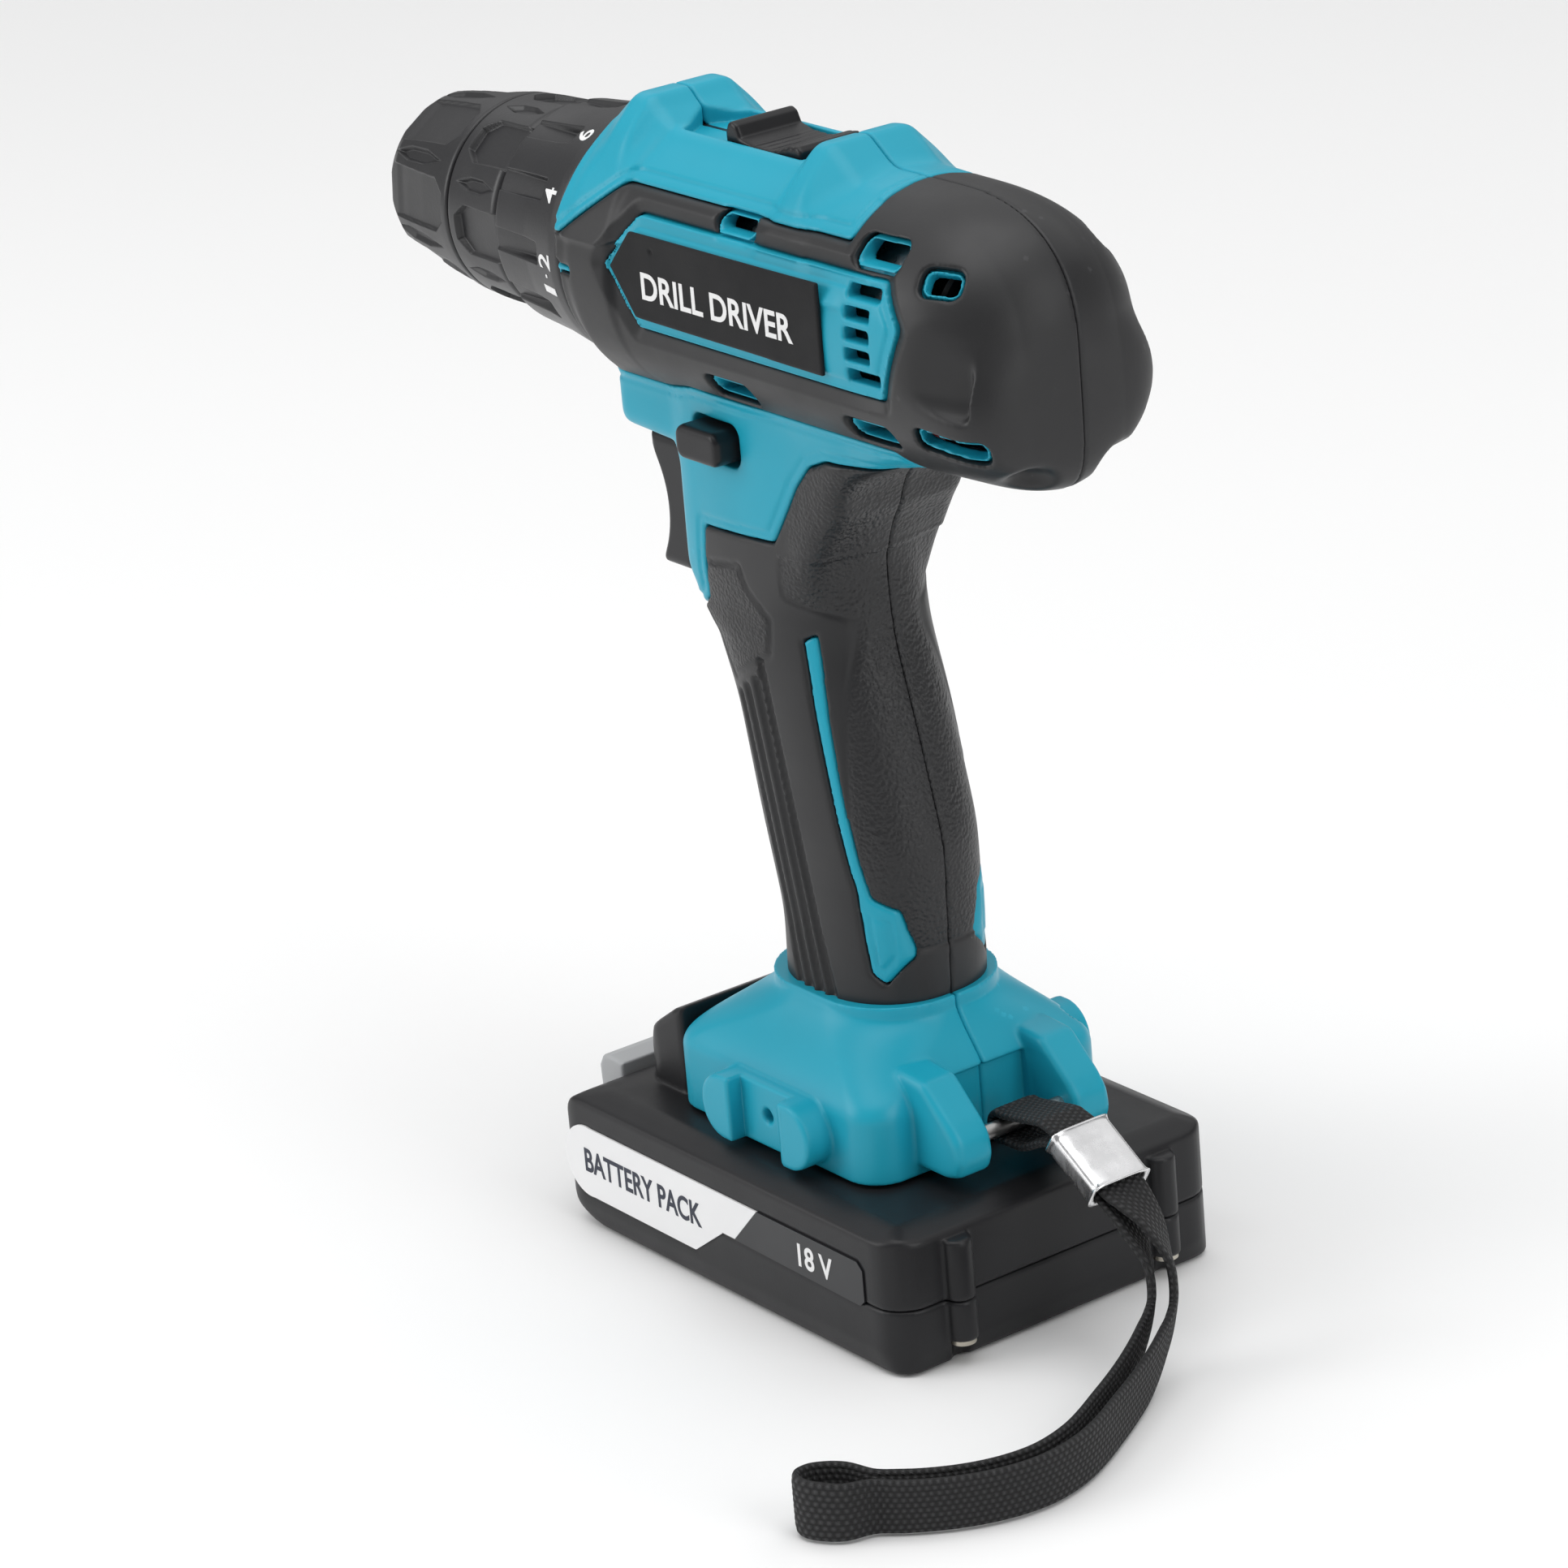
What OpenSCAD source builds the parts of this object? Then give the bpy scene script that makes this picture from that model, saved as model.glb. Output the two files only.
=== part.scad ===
// Cordless drill driver: pistol-grip body in two halves with rubber overmould,
// keyless chuck, torque ring, two-stage planetary gearbox, brushed motor,
// trigger switch, slide-in battery pack and a webbing wrist strap.
// The chuck points along -X, +Z is up and the operator's left side is -Y.
// Z = 0 is the underside of the battery pack, X = 0 and Y = 0 its centre.

/* [Body] */
// height of the spindle axis above the battery underside
axis_z = 186; // [184:0.5:188]
// radius of the motor barrel outside the rubber
barrel_r = 25.6; // [25:0.1:26.4]
// height of the barrel centre, a little under the spindle axis
barrel_z = 184.8; // [184:0.1:185.4]
// front edge of the housing collar
collar_x = -42.7; // [-43.5:0.1:-42]
// radius of the collar rim
collar_r = 24.6; // [24.2:0.1:25]
// rearmost point of the rubber end cap
cap_x = 75; // [73:0.5:77]
// thickness of the rubber skin
rubber_t = 1.6; // [1.2:0.1:2]
// wall of the housing halves
wall = 2.2; // [1.8:0.1:2.6]

/* [Grip] */
// half width of the grip
grip_w = 16.3; // [15.5:0.1:17]
// thickness of the trigger across the grip
trigger_w = 15; // [13:0.5:16]
// travel of the trigger
trigger_travel = 7; // [6:0.5:8]

/* [Foot] */
// half length of the foot block
foot_l = 30.5; // [29:0.5:32]
// half width of the foot block
foot_w = 27.5; // [26:0.5:28]

/* [Battery] */
// length of the pack
pack_l = 105.6; // [104:0.2:108]
// width of the pack
pack_w = 75; // [74:0.5:78]
// height of the pack body without its tower
pack_h = 28; // [27.5:0.5:29]
// height of the parting line of the two case halves
parting_z = 12.8; // [12:0.2:14]
// cell diameter
cell_d = 18.4; // [18.2:0.1:18.5]
// cell length
cell_l = 65; // [64:0.5:66]

/* [Chuck] */
// frontmost face of the chuck
nose_x = -112; // [-114:0.5:-110]
// sleeve radius at the seam between the two sleeves
sleeve_r = 19.3; // [19:0.1:19.8]
// grip panels round each sleeve
sleeve_n = 7; // [5:1:8]
// radius of the widest bit shank the open jaws take
jaw_open_r = 5; // [4.8:0.1:5.2]
// angle of the jaws to the spindle axis
jaw_angle = 18; // [17:0.5:19]
// travel of each jaw along its bore
jaw_travel = 11.5; // [10:0.5:11.5]

/* [Torque ring] */
// radius at the front edge
ring_front_r = 21.1; // [20.8:0.1:21.4]
// radius at the rear edge
ring_rear_r = 23.5; // [23.2:0.1:23.8]
// finger recesses round the ring
ring_flutes = 12; // [8:1:16]

/* [Gears] */
// gear module
gear_m = 0.7; // [0.69:0.01:0.7]
// sun gear teeth
sun_z = 12; // [12:1:12]
// planet gear teeth
planet_z = 18; // [18:1:18]

/* [Strap] */
// webbing width
strap_w = 10; // [9:0.5:10.5]
// webbing thickness
strap_t = 1.6; // [1.4:0.1:1.8]

/* [Hidden] */
$fn = 64;
eps = 0.02;
run_gap = 0.35;
ring_z = sun_z + 2 * planet_z;
planet_pcd = (sun_z + planet_z) * gear_m;
ring_x0 = -67.4;
seam_x = -85.2;
foot_cx = 4.5;
foot_z0 = pack_h + 0.4;
well_z = 208;
teal = [0.16, 0.68, 0.76];
black = [0.13, 0.13, 0.14];
rubber = [0.09, 0.09, 0.1];
steel = [0.72, 0.73, 0.75];
brass_c = [0.8, 0.66, 0.35];
copper_c = [0.75, 0.45, 0.28];
white_c = [0.93, 0.93, 0.92];

// ---------- shared shapes ----------

// cylinder along X about the spindle axis
module xcyl(x0, x1, r, z = axis_z) {
    translate([x0, 0, z])
        rotate([0, 90, 0])
            cylinder(h = x1 - x0, r = r);
}

// ring along X about the spindle axis
module xring(x0, x1, r, ri, z = axis_z) {
    difference() {
        xcyl(x0, x1, r, z);
        xcyl(x0 - 1, x1 + 1, ri, z);
    }
}

// solid of revolution about X, profile points are [radius, x]
module xrev(p, z = axis_z) {
    translate([0, 0, z])
        rotate([0, 90, 0])
            rotate_extrude()
                polygon(p);
}

// box from corner to corner
module bx(a, b) {
    translate(a)
        cube(b - a);
}

// side profile of [x, z] points extruded across Y from y0 to y1
module side(p, y0, y1) {
    translate([0, y1, 0])
        rotate([90, 0, 0])
            linear_extrude(y1 - y0)
                polygon(p);
}

// rounded rectangle in plan, exact arcs
module rrect(x0, x1, w, r) {
    translate([x0 + r, -w])
        square([x1 - x0 - 2 * r, 2 * w]);
    translate([x0, -w + r])
        square([x1 - x0, 2 * w - 2 * r]);
    for (x = [x0 + r, x1 - r])
        for (y = [-w + r, w - r])
            translate([x, y])
                circle(r);
}

module rprism(x0, x1, w, r, z0, z1) {
    translate([0, 0, z0])
        linear_extrude(z1 - z0)
            rrect(x0, x1, w, r);
}

// plan outline extruded from z0 to z1
module linear_z(z0, z1) {
    translate([0, 0, z0])
        linear_extrude(z1 - z0)
            children();
}

// keeps the left (-Y) or the right (+Y) half
module half(s) {
    intersection() {
        children();
        translate([-150, s < 0 ? -100 : 0, -20])
            cube([300, 100, 300]);
    }
}

// copies for the three jaws or planets
function third(i) = 120 * i;

// one rounded cross-section of the grip: [z, centre x, half depth, half width, power]
function oval(s, d, n) = [
    for (i = [0:n - 1])
        let (t = 360 * (i + 0.5) / n)
        let (c = cos(t))
        let (q = sin(t))
        [s[1] + (s[2] - d) * sign(c) * pow(abs(c), 2 / s[4]),
         (s[3] - d) * sign(q) * pow(abs(q), 2 / s[4]),
         s[0]]
];

// closed skin through a stack of sections
module skin(stack, d, n = 28) {
    m = len(stack);
    pts = [for (s = stack) each oval(s, d, n)];
    sides = [
        for (k = [0:m - 2])
            for (i = [0:n - 1])
                let (a = k * n + i)
                let (b = k * n + (i + 1) % n)
                each [[a, a + n, b], [b, a + n, b + n]]
    ];
    bottom = [for (i = [0:n - 1]) i];
    top = [for (i = [n - 1:-1:0]) (m - 1) * n + i];
    polyhedron(points = pts, faces = concat([bottom], sides, [top]));
}

// ---------- outer form of the body ----------

grip_stack = [
    [53.5, 6.3, 19.2, 16.6, 2.3],
    [67, 7.2, 19, 16.4, 2.3],
    [78, 6.6, 20.8, 16.3, 2.3],
    [90, 4.6, 21.6, 16.3, 2.3],
    [102, 2, 21.2, 16.3, 2.3],
    [114, -1.6, 20.8, 16.3, 2.3],
    [124, -5, 21.6, 16.3, 2.3],
    [136, -5.6, 21.6, 16.3, 2.3],
    [152, -5, 23, 16.3, 2.5],
    [166, -3, 26, 16.3, 2.6]
];

foot_stack = [
    [foot_z0, foot_cx, foot_l, foot_w, 5],
    [38, foot_cx, foot_l - 0.3, foot_w - 0.3, 4.6],
    [42.5, foot_cx, foot_l - 1.6, foot_w - 2, 4],
    [46, foot_cx + 0.2, foot_l - 4.5, foot_w - 4.6, 3.4],
    [49.5, foot_cx + 0.8, foot_l - 8, foot_w - 7.2, 2.9],
    [53.5, 6.3, 20.6, 18, 2.4]
];

// motor barrel and end cap, inset by d
module barrel(d) {
    r = barrel_r - d;
    q = 30 - d;
    arc = [for (a = [90:-7.5:0]) [r * pow(sin(a), 0.9), cap_x - 30 + q * pow(cos(a), 0.9)]];
    xrev(concat([[0, collar_x + 6], [r, collar_x + 6]], arc), barrel_z);
}

// collar at the front of the barrel
module collar(d) {
    r = collar_r - d;
    xrev([[0, collar_x + d], [r - 0.6, collar_x + d], [r, collar_x + 0.8 + d],
          [r, collar_x + 4], [barrel_r - d, collar_x + 9], [0, collar_x + 9]]);
}

// raised spine along the top: front hump, slider valley, rear hump
module spine(d) {
    p = [[-42.2 + d, 195], [-42.2 + d, 209.4 - d], [-35, 215.5 - d], [-31, 215.5 - d],
         [-26, 210.4 - d], [12, 210.4 - d], [17.2, 215 - d], [21.4, 215 - d],
         [31.5, 208.6 - d], [40, 206 - d], [40, 195]];
    side(p, -8.5 + d, 8.5 - d);
    intersection() {
        side(p, -18 + d, 18 - d);
        translate([-60, 0, 206.6 - d])
            rotate([45, 0, 0])
                translate([0, -15, -15])
                    cube([120, 30, 30]);
    }
}

// lower front of the head, over the trigger
module brow(d) {
    p = [[collar_x + 0.4 + d, 178], [collar_x + 0.4 + d, 154.6 + d], [-41.5, 153.2 + d],
         [-26, 152.6 + d], [-24.4 + d, 150], [-25 + d, 131], [-22.8 + d, 124.5],
         [-19, 123], [-8, 123], [24, 150], [30, 178]];
    side(p, -14.6 + d, 14.6 - d);
}

// web between grip and barrel behind the trigger
module web(d) {
    p = [[-20, 136], [15 - d, 136], [17 - d, 146], [23 - d, 154.5], [38 - d, 162.5 + d],
         [46 - d, 176], [-20, 176]];
    side(p, -15 + d, 15 - d);
}

module foot(d) {
    skin(foot_stack, d);
}

module grip(d) {
    skin(grip_stack, d);
}

module head(d) {
    barrel(d);
    collar(d);
    spine(d);
    brow(d);
    web(d);
}

// accessory boss with a through screw hole and a wide channel, on side s
module boss(s) {
    translate([7.4, s * 26, 35.6])
        difference() {
            rotate([90, 0, 0])
                translate([0, 0, -7])
                    linear_extrude(14) {
                        square([19.5, 12.8], center = true);
                        for (k = [-1, 1])
                            translate([k * 9.75, 0])
                                circle(6.4);
                    }
            translate([-7.6, s * 5.4 - 2.4, -8])
                cube([15.2, 4.8, 16]);
            rotate([90, 0, 0])
                cylinder(h = 40, r = 1.3, center = true);
        }
}

// rear lug for the strap pin, on side s
module lug(s) {
    translate([0, s * 13.5, 0])
        rotate([90, 0, 0])
            translate([0, 0, -4])
                linear_extrude(8) {
                    polygon([[30, 30.2], [43, 30.2], [47.6, 34], [47.4, 38], [38, 47.4], [30, 48]]);
                    translate([42.8, 35.2])
                        circle(5);
                }
}

// ---------- regions and cuts shared by housing, rubber and badge ----------

// where rubber covers the body
module rubber_region() {
    side([[37.5, 225], [90, 225], [90, 140], [46, 140], [46, 159.8], [45, 166.8], [37.5, 166.8]], -40, 40);
    side([[-60, 53], [-60, 121], [-23, 121], [-17.4, 126], [-15.6, 140.3], [5.4, 141.3],
          [12.9, 153.1], [17, 157.6], [22, 159.6], [47, 159.8], [90, 150], [90, 53]], -40, 40);
    for (y = [-40, 12])
        side([[-41.6, 191.5], [-26.4, 202.3], [38, 202.3], [38, 166.8], [-14, 166.8],
              [-24, 165], [-40.6, 165]], y, y + 28);
}

// teal islands inside the rubber: side window with badge and grille, grip stripe
module island(g) {
    for (y = [-40, 15])
        side([[-28.4 - g, 188.6], [-20.4 - g / 2, 198.2 + g], [49.4, 198.2 + g], [54 + g, 191],
              [49.4, 177.8 - g], [-20.4 - g / 2, 177.8 - g]], y, y + 25);
    for (y = [-40, 6])
        side([[10.8 - g, 123 - g], [14.2 + g, 125.6], [15.2 + g, 107], [19.4 + g, 79], [24.2 + g, 75.6],
              [26.4 + g, 66.6], [22 + g, 59.6 - g], [15.2 - g, 80], [11.6 - g, 106]], y, y + 34);
}

// rounded slot cut through the side wall, centred at [x, z], size w by h
module side_slot(x, z, w, h, y0, y1) {
    translate([x, y1, z])
        rotate([90, 0, 0])
            linear_extrude(y1 - y0) {
                square([w - h, h], center = true);
                for (k = [-1, 1])
                    translate([k * (w - h) / 2, 0])
                        circle(h / 2);
            }
}

// air vents on side s, grown by g
module vents(s, g) {
    a = s < 0 ? -30 : 12;
    b = s < 0 ? -12 : 30;
    side_slot(7, 200.2, 10 + g, 2.8 + g, a, b);
    side_slot(45.8, 201.6, 10.5 + g, 3.8 + g, a, b);
    side_slot(3, 170.3, 12 + g, 3 + g, a, b);
    side_slot(43, 170.6, 11.5 + g, 3 + g, a, b);
    translate([60.4, s * 14, 199.4])
        rotate([s * 35, 0, 0])
            cube([5 + g, 16, 3.6 + g], center = true);
    translate([60, s * 13.5, 171])
        rotate([s * -36, 0, s * -32])
            cube([12 + g, 16, 3.4 + g], center = true);
}

// five stacked slots of the side grille
module grille(s) {
    for (k = [0:4])
        translate([44.2 + (k == 0 || k == 4 ? 0.6 : -0.4), s * 21, 181.4 + k * 3.55])
            cube([k == 0 || k == 4 ? 8.4 : 7, 12, 2.2], center = true);
}

// screw places as [x, z, screw head seat in y]
screws = [[-33, 160.6, 11], [33, 163.6, 8], [11.6, 146, 11.4], [6, 100, 13.1],
          [9.5, 64, 13.1], [-15, 42, 17.6], [27, 42, 17.6]];

module at_screws() {
    for (p = screws)
        translate([p[0], 0, p[1]])
            rotate([-90, 0, 0])
                translate([0, 0, p[2]])
                    children();
}

// hollow inside of the body
module cavity() {
    difference() {
        union() {
            intersection() {
                barrel(rubber_t + wall);
                bx([-34, -40, 120], [80, 40, 230]);
            }
            xcyl(collar_x - 1, -30, 21);
            bx([-39, -10.6, 156], [34, 10.6, 180]);
            bx([-21, -10.6, 125], [9, 10.6, 160]);
            bx([-30, -5.6, 127], [-12, 5.6, 151.4]);
            translate([2, 0, 90])
                rotate([0, -9.5, 0])
                    rprism(-14.5, 14.5, 12.3, 8, -33, 48);
            rprism(-18, 28, 21, 6, 39.2, 45.5);
        }
        for (p = screws)
            translate([p[0], 0, p[1]])
                rotate([90, 0, 0])
                    cylinder(h = 60, r = 3.3, center = true);
    }
    // slider well in the top
    linear_z(well_z, 222)
        polygon([[-30.2, 0], [-24.2, -7.6], [12, -7.6], [12, 7.6], [-24.2, 7.6]]);
    bx([-13, -2, 196], [4, 2, well_z + 1]);
    // finger opening for the trigger
    bx([-46, -trigger_w / 2 - 0.4, 126.4], [-20, trigger_w / 2 + 0.4, 151.2]);
    bx([-46, -trigger_w / 2 - 0.4, 124.2], [-24.2, trigger_w / 2 + 0.4, 130]);
    // lever passage
    bx([-15.7, -30, 154.2], [-2.3, 30, 161]);
    // rail slot for the battery, open to the front
    bx([-40, -15.2, 20], [31, 15.2, 32.2]);
    bx([-40, -19, 32], [31, 19, 37]);
    bx([25.8, -14.2, 36], [31, 14.2, 39.4]);
    // screw bores and head recesses
    at_screws() {
        translate([0, 0, -40])
            cylinder(h = 60, r = 1.55);
        cylinder(h = 40, r = 3.6);
    }
}

module body_half(s) {
    half(s)
        difference() {
            union() {
                difference() {
                    head(0);
                    rubber_region();
                }
                intersection() {
                    head(0);
                    island(-0.4);
                    bx([-60, -60, 130], [60, 60, 230]);
                }
                head(rubber_t);
                grip(rubber_t);
                intersection() {
                    grip(0);
                    union() {
                        island(-0.4);
                        bx([-40, -20, 123], [-17.4, 20, 140]);
                    }
                }
                foot(0);
                boss(s);
                lug(s);
            }
            cavity();
            vents(s, 0);
            grille(s);
            badge_pocket(s, 0);
            // accessory screw holes, recess and pin hole between the lugs
            translate([7.4, 0, 35.6])
                rotate([90, 0, 0])
                    cylinder(h = 80, r = 1.3, center = true);
            bx([32.6, -9.4, 20], [60, 9.4, 44]);
            translate([42.8, 0, 36])
                rotate([90, 0, 0])
                    cylinder(h = 34.02, r = 1.5, center = true);
        }
}

module badge_pocket(s, g) {
    side([[-26.4 + g, 188.6], [-19.6 + g, 196 - g], [35 - g, 196.4 - g], [35 - g, 179.6 + g],
          [-19.6 + g, 180 + g]], s < 0 ? -30 : 23.2 + g / 4, s < 0 ? -23.2 - g / 4 : 30);
}

module badge(s) {
    intersection() {
        badge_pocket(s, 0.15);
        bx([-60, -24.1, 150], [60, 24.1, 220]);
    }
}

// rubber skin on side s
module skin_half(s) {
    half(s)
        difference() {
            intersection() {
                union() {
                    difference() {
                        head(0);
                        head(rubber_t - 0.02);
                    }
                    difference() {
                        grip(0);
                        grip(rubber_t - 0.02);
                        head(rubber_t - 0.02);
                        foot(0);
                    }
                }
                rubber_region();
            }
            island(0);
            grip(rubber_t - 0.02);
            head(rubber_t - 0.02);
            xcyl(collar_x - 2, -30, 21);
            bx([-40, -20, 121.5], [-17.2, 20, 142]);
            vents(s, 1.6);
            at_screws()
                cylinder(h = 40, r = 3.8);
            // thumb hollow in the end cap
            translate([70, s * 27, 185])
                sphere(r = 11.6);
            // flutes along the front of the grip
            for (k = [0:3])
                translate([3.4 * k - 3.8, s * (14.9 + 0.5 * k), 58])
                    rotate([0, -9.5, 0])
                        cylinder(h = 52 + 2 * k, r = 1.1, $fn = 8);
        }
}

module housing_left() {
    color(teal) body_half(-1);
}

module housing_right() {
    color(teal) body_half(1);
}

module overmould_left() {
    color(rubber) skin_half(-1);
}

module overmould_right() {
    color(rubber) skin_half(1);
}

module badge_left() {
    color(black) badge(-1);
}

module badge_right() {
    color(black) badge(1);
}

// ---------- chuck ----------

// outline of the front sleeve as [radius, x]
front_sleeve_out = [[10.4, nose_x], [13.2, nose_x + 0.5], [15.2, nose_x + 2], [16.7, nose_x + 5],
                    [17.4, nose_x + 9], [18.2, nose_x + 15], [19.1, seam_x - 3], [sleeve_r, seam_x - 0.5]];

// flat-bottomed panel cut at radius r, angle a, from x0 to x1, pointed at the x1 end
module panel_cut(a, r, x0, x1, w) {
    tip = x1 > x0 ? 3 : -3;
    translate([0, 0, axis_z])
        rotate([a, 0, 0])
            translate([0, 0, r])
                linear_extrude(5)
                    polygon([[x0, -w / 2], [x1 - tip, -w / 2], [x1, -w / 4], [x1, w / 4],
                             [x1 - tip, w / 2], [x0, w / 2]]);
}

// narrow lens-shaped groove at radius r, angle a
module lens_cut(a, r, x0, x1, w) {
    translate([0, 0, axis_z])
        rotate([a, 0, 0])
            translate([0, 0, r])
                linear_extrude(5)
                    polygon([[x0, 0], [(2 * x0 + x1) / 3, w / 2], [(x0 + 2 * x1) / 3, w / 2], [x1, 0],
                             [(x0 + 2 * x1) / 3, -w / 2], [(2 * x0 + x1) / 3, -w / 2]]);
}

module chuck_front_sleeve() {
    color(black)
        difference() {
            xrev(concat(front_sleeve_out, [[sleeve_r, seam_x - 0.2], [16.9, seam_x - 0.2],
                 [16.9, -92.4], [15.6, -92.4], [12.6, -103], [10.4, -105]]));
            for (k = [0:sleeve_n - 1]) {
                panel_cut(360 / sleeve_n * k + 34, 17.2, nose_x - 1, -88, 9.5);
                lens_cut(360 / sleeve_n * k + 8.3, 17.4, -108, -90, 3);
            }
        }
}

module chuck_rear_sleeve() {
    color(black)
        difference() {
            xrev([[16.9, seam_x + 0.2], [sleeve_r, seam_x + 0.2], [sleeve_r + 0.3, seam_x + 4],
                  [20.2, ring_x0 - 1.6], [19.6, ring_x0 - 0.6], [12.06, ring_x0 - 0.6], [12.06, -71],
                  [17.2, -72.5], [17.2, -79.9], [16.92, -79.9]]);
            for (k = [0:sleeve_n - 1]) {
                panel_cut(360 / sleeve_n * k + 42, 18.9, -64, -81, 8.5);
                lens_cut(360 / sleeve_n * k + 16.3, 18.9, -82, -70, 2.6);
            }
        }
}

module chuck_nut() {
    color(steel)
        xrev([[12.1, -92], [16.88, -92], [16.88, -86.6], [14, -86.6]]);
}

// places its child on jaw axis i; local +X runs rearward and outward
module on_jaw(i) {
    translate([0, 0, axis_z])
        rotate([third(i), 0, 0])
            translate([-100.6, 0, 5.2])
                rotate([0, -jaw_angle, 0])
                    children();
}

// 120 degree wedge that keeps neighbouring jaws apart when they close
module jaw_wedge(i) {
    translate([0, 0, axis_z])
        rotate([third(i), 0, 0])
            translate([0, 0, 3.65])
                rotate([90, 0, 90])
                    translate([0, 0, -100.6])
                        linear_extrude(40)
                            polygon([[0, 0], [34.64, 20], [0, 40], [-34.64, 20]]);
}

module jaw(i) {
    color(steel)
        intersection() {
            difference() {
                on_jaw(i)
                    rotate([0, 90, 0])
                        translate([0, 0, -3])
                            cylinder(h = 25.5, r = 3.6);
                xcyl(-130, -60, jaw_open_r);
            }
            jaw_wedge(i);
        }
}

module chuck_jaw_1() {
    jaw(0);
}

module chuck_jaw_2() {
    jaw(1);
}

module chuck_jaw_3() {
    jaw(2);
}

module chuck_body() {
    color(steel)
        difference() {
            xrev([[0, nose_x + 0.4], [9.6, nose_x + 0.4], [9.8, -104.4], [11, -100], [11, -86],
                  [16.4, -85.6], [16.88, -85.2], [16.88, -80], [12, -79.6], [12, -69], [0, -69]]);
            xcyl(-130, -84.5, 5.6);
            xcyl(-130, nose_x + 1.6, 6.6);
            for (i = [0:2])
                on_jaw(i)
                    rotate([0, 90, 0])
                        translate([0, 0, -20])
                            cylinder(h = 48, r = 3.68);
            // seat of the spindle and its locking screw
            xcyl(-79.5, -60, 4.42);
            xcyl(-90, -79, 2);
        }
}

module chuck_screw() {
    color(steel)
        difference() {
            union() {
                xcyl(-86.8, -84.6, 3);
                xcyl(-84.7, -73, 1.98);
            }
            translate([-87.2, -0.5, axis_z - 3])
                cube([1.6, 1, 6]);
        }
}

// ---------- torque ring and clutch ----------

module torque_ring() {
    color(black)
        difference() {
            xrev([[13.4, ring_x0], [ring_front_r - 0.9, ring_x0], [ring_front_r, ring_x0 + 0.9],
                  [ring_front_r + 0.9, -56], [ring_rear_r, -46], [ring_rear_r, collar_x - 0.5],
                  [20.2, collar_x - 0.5], [19.4, ring_x0 + 3], [13.4, ring_x0 + 3]]);
            for (k = [0:ring_flutes - 1])
                translate([0, 0, axis_z])
                    rotate([360 / ring_flutes * k, 0, 0])
                        translate([ring_x0 - 1, -2.2, 20.5])
                            cube([16.6, 4.4, 5]);
        }
}

module clutch_spring() {
    color(steel)
        for (k = [0:6])
            translate([-60.6 + k * 2.3, 0, axis_z])
                rotate([0, 90, 0])
                    rotate_extrude()
                        translate([15.4, 0])
                            circle(0.9, $fn = 16);
}

module clutch_washer() {
    color(steel)
        xring(-45.6, -44, 18.4, 13.2);
}

// ---------- gearbox ----------

// outside outline of a gear with straight-flanked teeth
function gear_pts(z, add, ded, k) = [
    for (i = [0:z - 1])
        let (a = 360 * i / z)
        let (p = gear_m * z / 2)
        let (h = 90 / z)
        each [for (q = [[-1.45, -ded], [-0.86, 0], [-0.42, add], [0.42, add], [0.86, 0], [1.45, -ded]])
            (p + q[1] * gear_m) * [cos(a + q[0] * h * k), sin(a + q[0] * h * k)]]
];

// external gear along X between x0 and x1, first tooth turned by a from the top
module gear(z, x0, x1, a) {
    translate([x0, 0, 0])
        rotate([90, 0, 90])
            linear_extrude(x1 - x0)
                rotate(90 + a)
                    polygon(gear_pts(z, 0.82, 1.1, 0.9));
}

module ring_gear(x0, x1) {
    color(steel)
        translate([0, 0, axis_z])
            difference() {
                translate([x0, 0, 0])
                    rotate([0, 90, 0])
                        cylinder(h = x1 - x0, r = 18.78);
                translate([x0 - 1, 0, 0])
                    rotate([90, 0, 90])
                        linear_extrude(x1 - x0 + 2)
                            rotate(90 + 180 / ring_z)
                                polygon(gear_pts(ring_z, 1.1, 0.82, 1.12));
            }
}

module planet(i, x0, x1) {
    color(steel)
        translate([0, 0, axis_z])
            rotate([third(i), 0, 0])
                translate([0, 0, planet_pcd / 2])
                    difference() {
                        gear(planet_z, x0, x1, 180 / planet_z);
                        translate([x0 - 1, 0, 0])
                            rotate([0, 90, 0])
                                cylinder(h = 30, r = 1.57);
                    }
}

module carrier_pins(x0, x1) {
    for (i = [0:2])
        translate([0, 0, axis_z])
            rotate([third(i), 0, 0])
                translate([x0, 0, planet_pcd / 2])
                    rotate([0, 90, 0])
                        cylinder(h = x1 - x0, r = 1.5);
}

module planet_rear_1() {
    planet(0, -15, -8);
}

module planet_rear_2() {
    planet(1, -15, -8);
}

module planet_rear_3() {
    planet(2, -15, -8);
}

module planet_front_1() {
    planet(0, -29, -20);
}

module planet_front_2() {
    planet(1, -29, -20);
}

module planet_front_3() {
    planet(2, -29, -20);
}

module ring_gear_rear() {
    ring_gear(-15.4, -7.6);
}

module ring_gear_front() {
    ring_gear(-29.4, -19.6);
}

module carrier_first() {
    color(steel) {
        xcyl(-18.4, -15.6, 14.6);
        carrier_pins(-16, -7.8);
        translate([0, 0, axis_z])
            gear(sun_z, -28.8, -18.2, 0);
    }
}

module spindle() {
    color(steel)
        difference() {
            union() {
                xcyl(-32.6, -29.6, 14.6);
                carrier_pins(-30, -19.8);
                xcyl(-52.2, -32, 6);
                xcyl(-62, -52.3, 5.6);
                xcyl(-79.4, -61.9, 4.4);
            }
            xcyl(-80, -72, 2);
        }
}

module spindle_bearing() {
    color(steel) {
        xring(-61, -53, 9.98, 8);
        xring(-61, -53, 6.6, 5.66);
        for (k = [0:8])
            translate([-57, 0, axis_z])
                rotate([40 * k, 0, 0])
                    translate([0, 0, 7.3])
                        sphere(r = 0.95, $fn = 16);
    }
}

module spindle_bush() {
    color(brass_c)
        xring(-40.5, -34.5, 9.98, 6.06);
}

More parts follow.
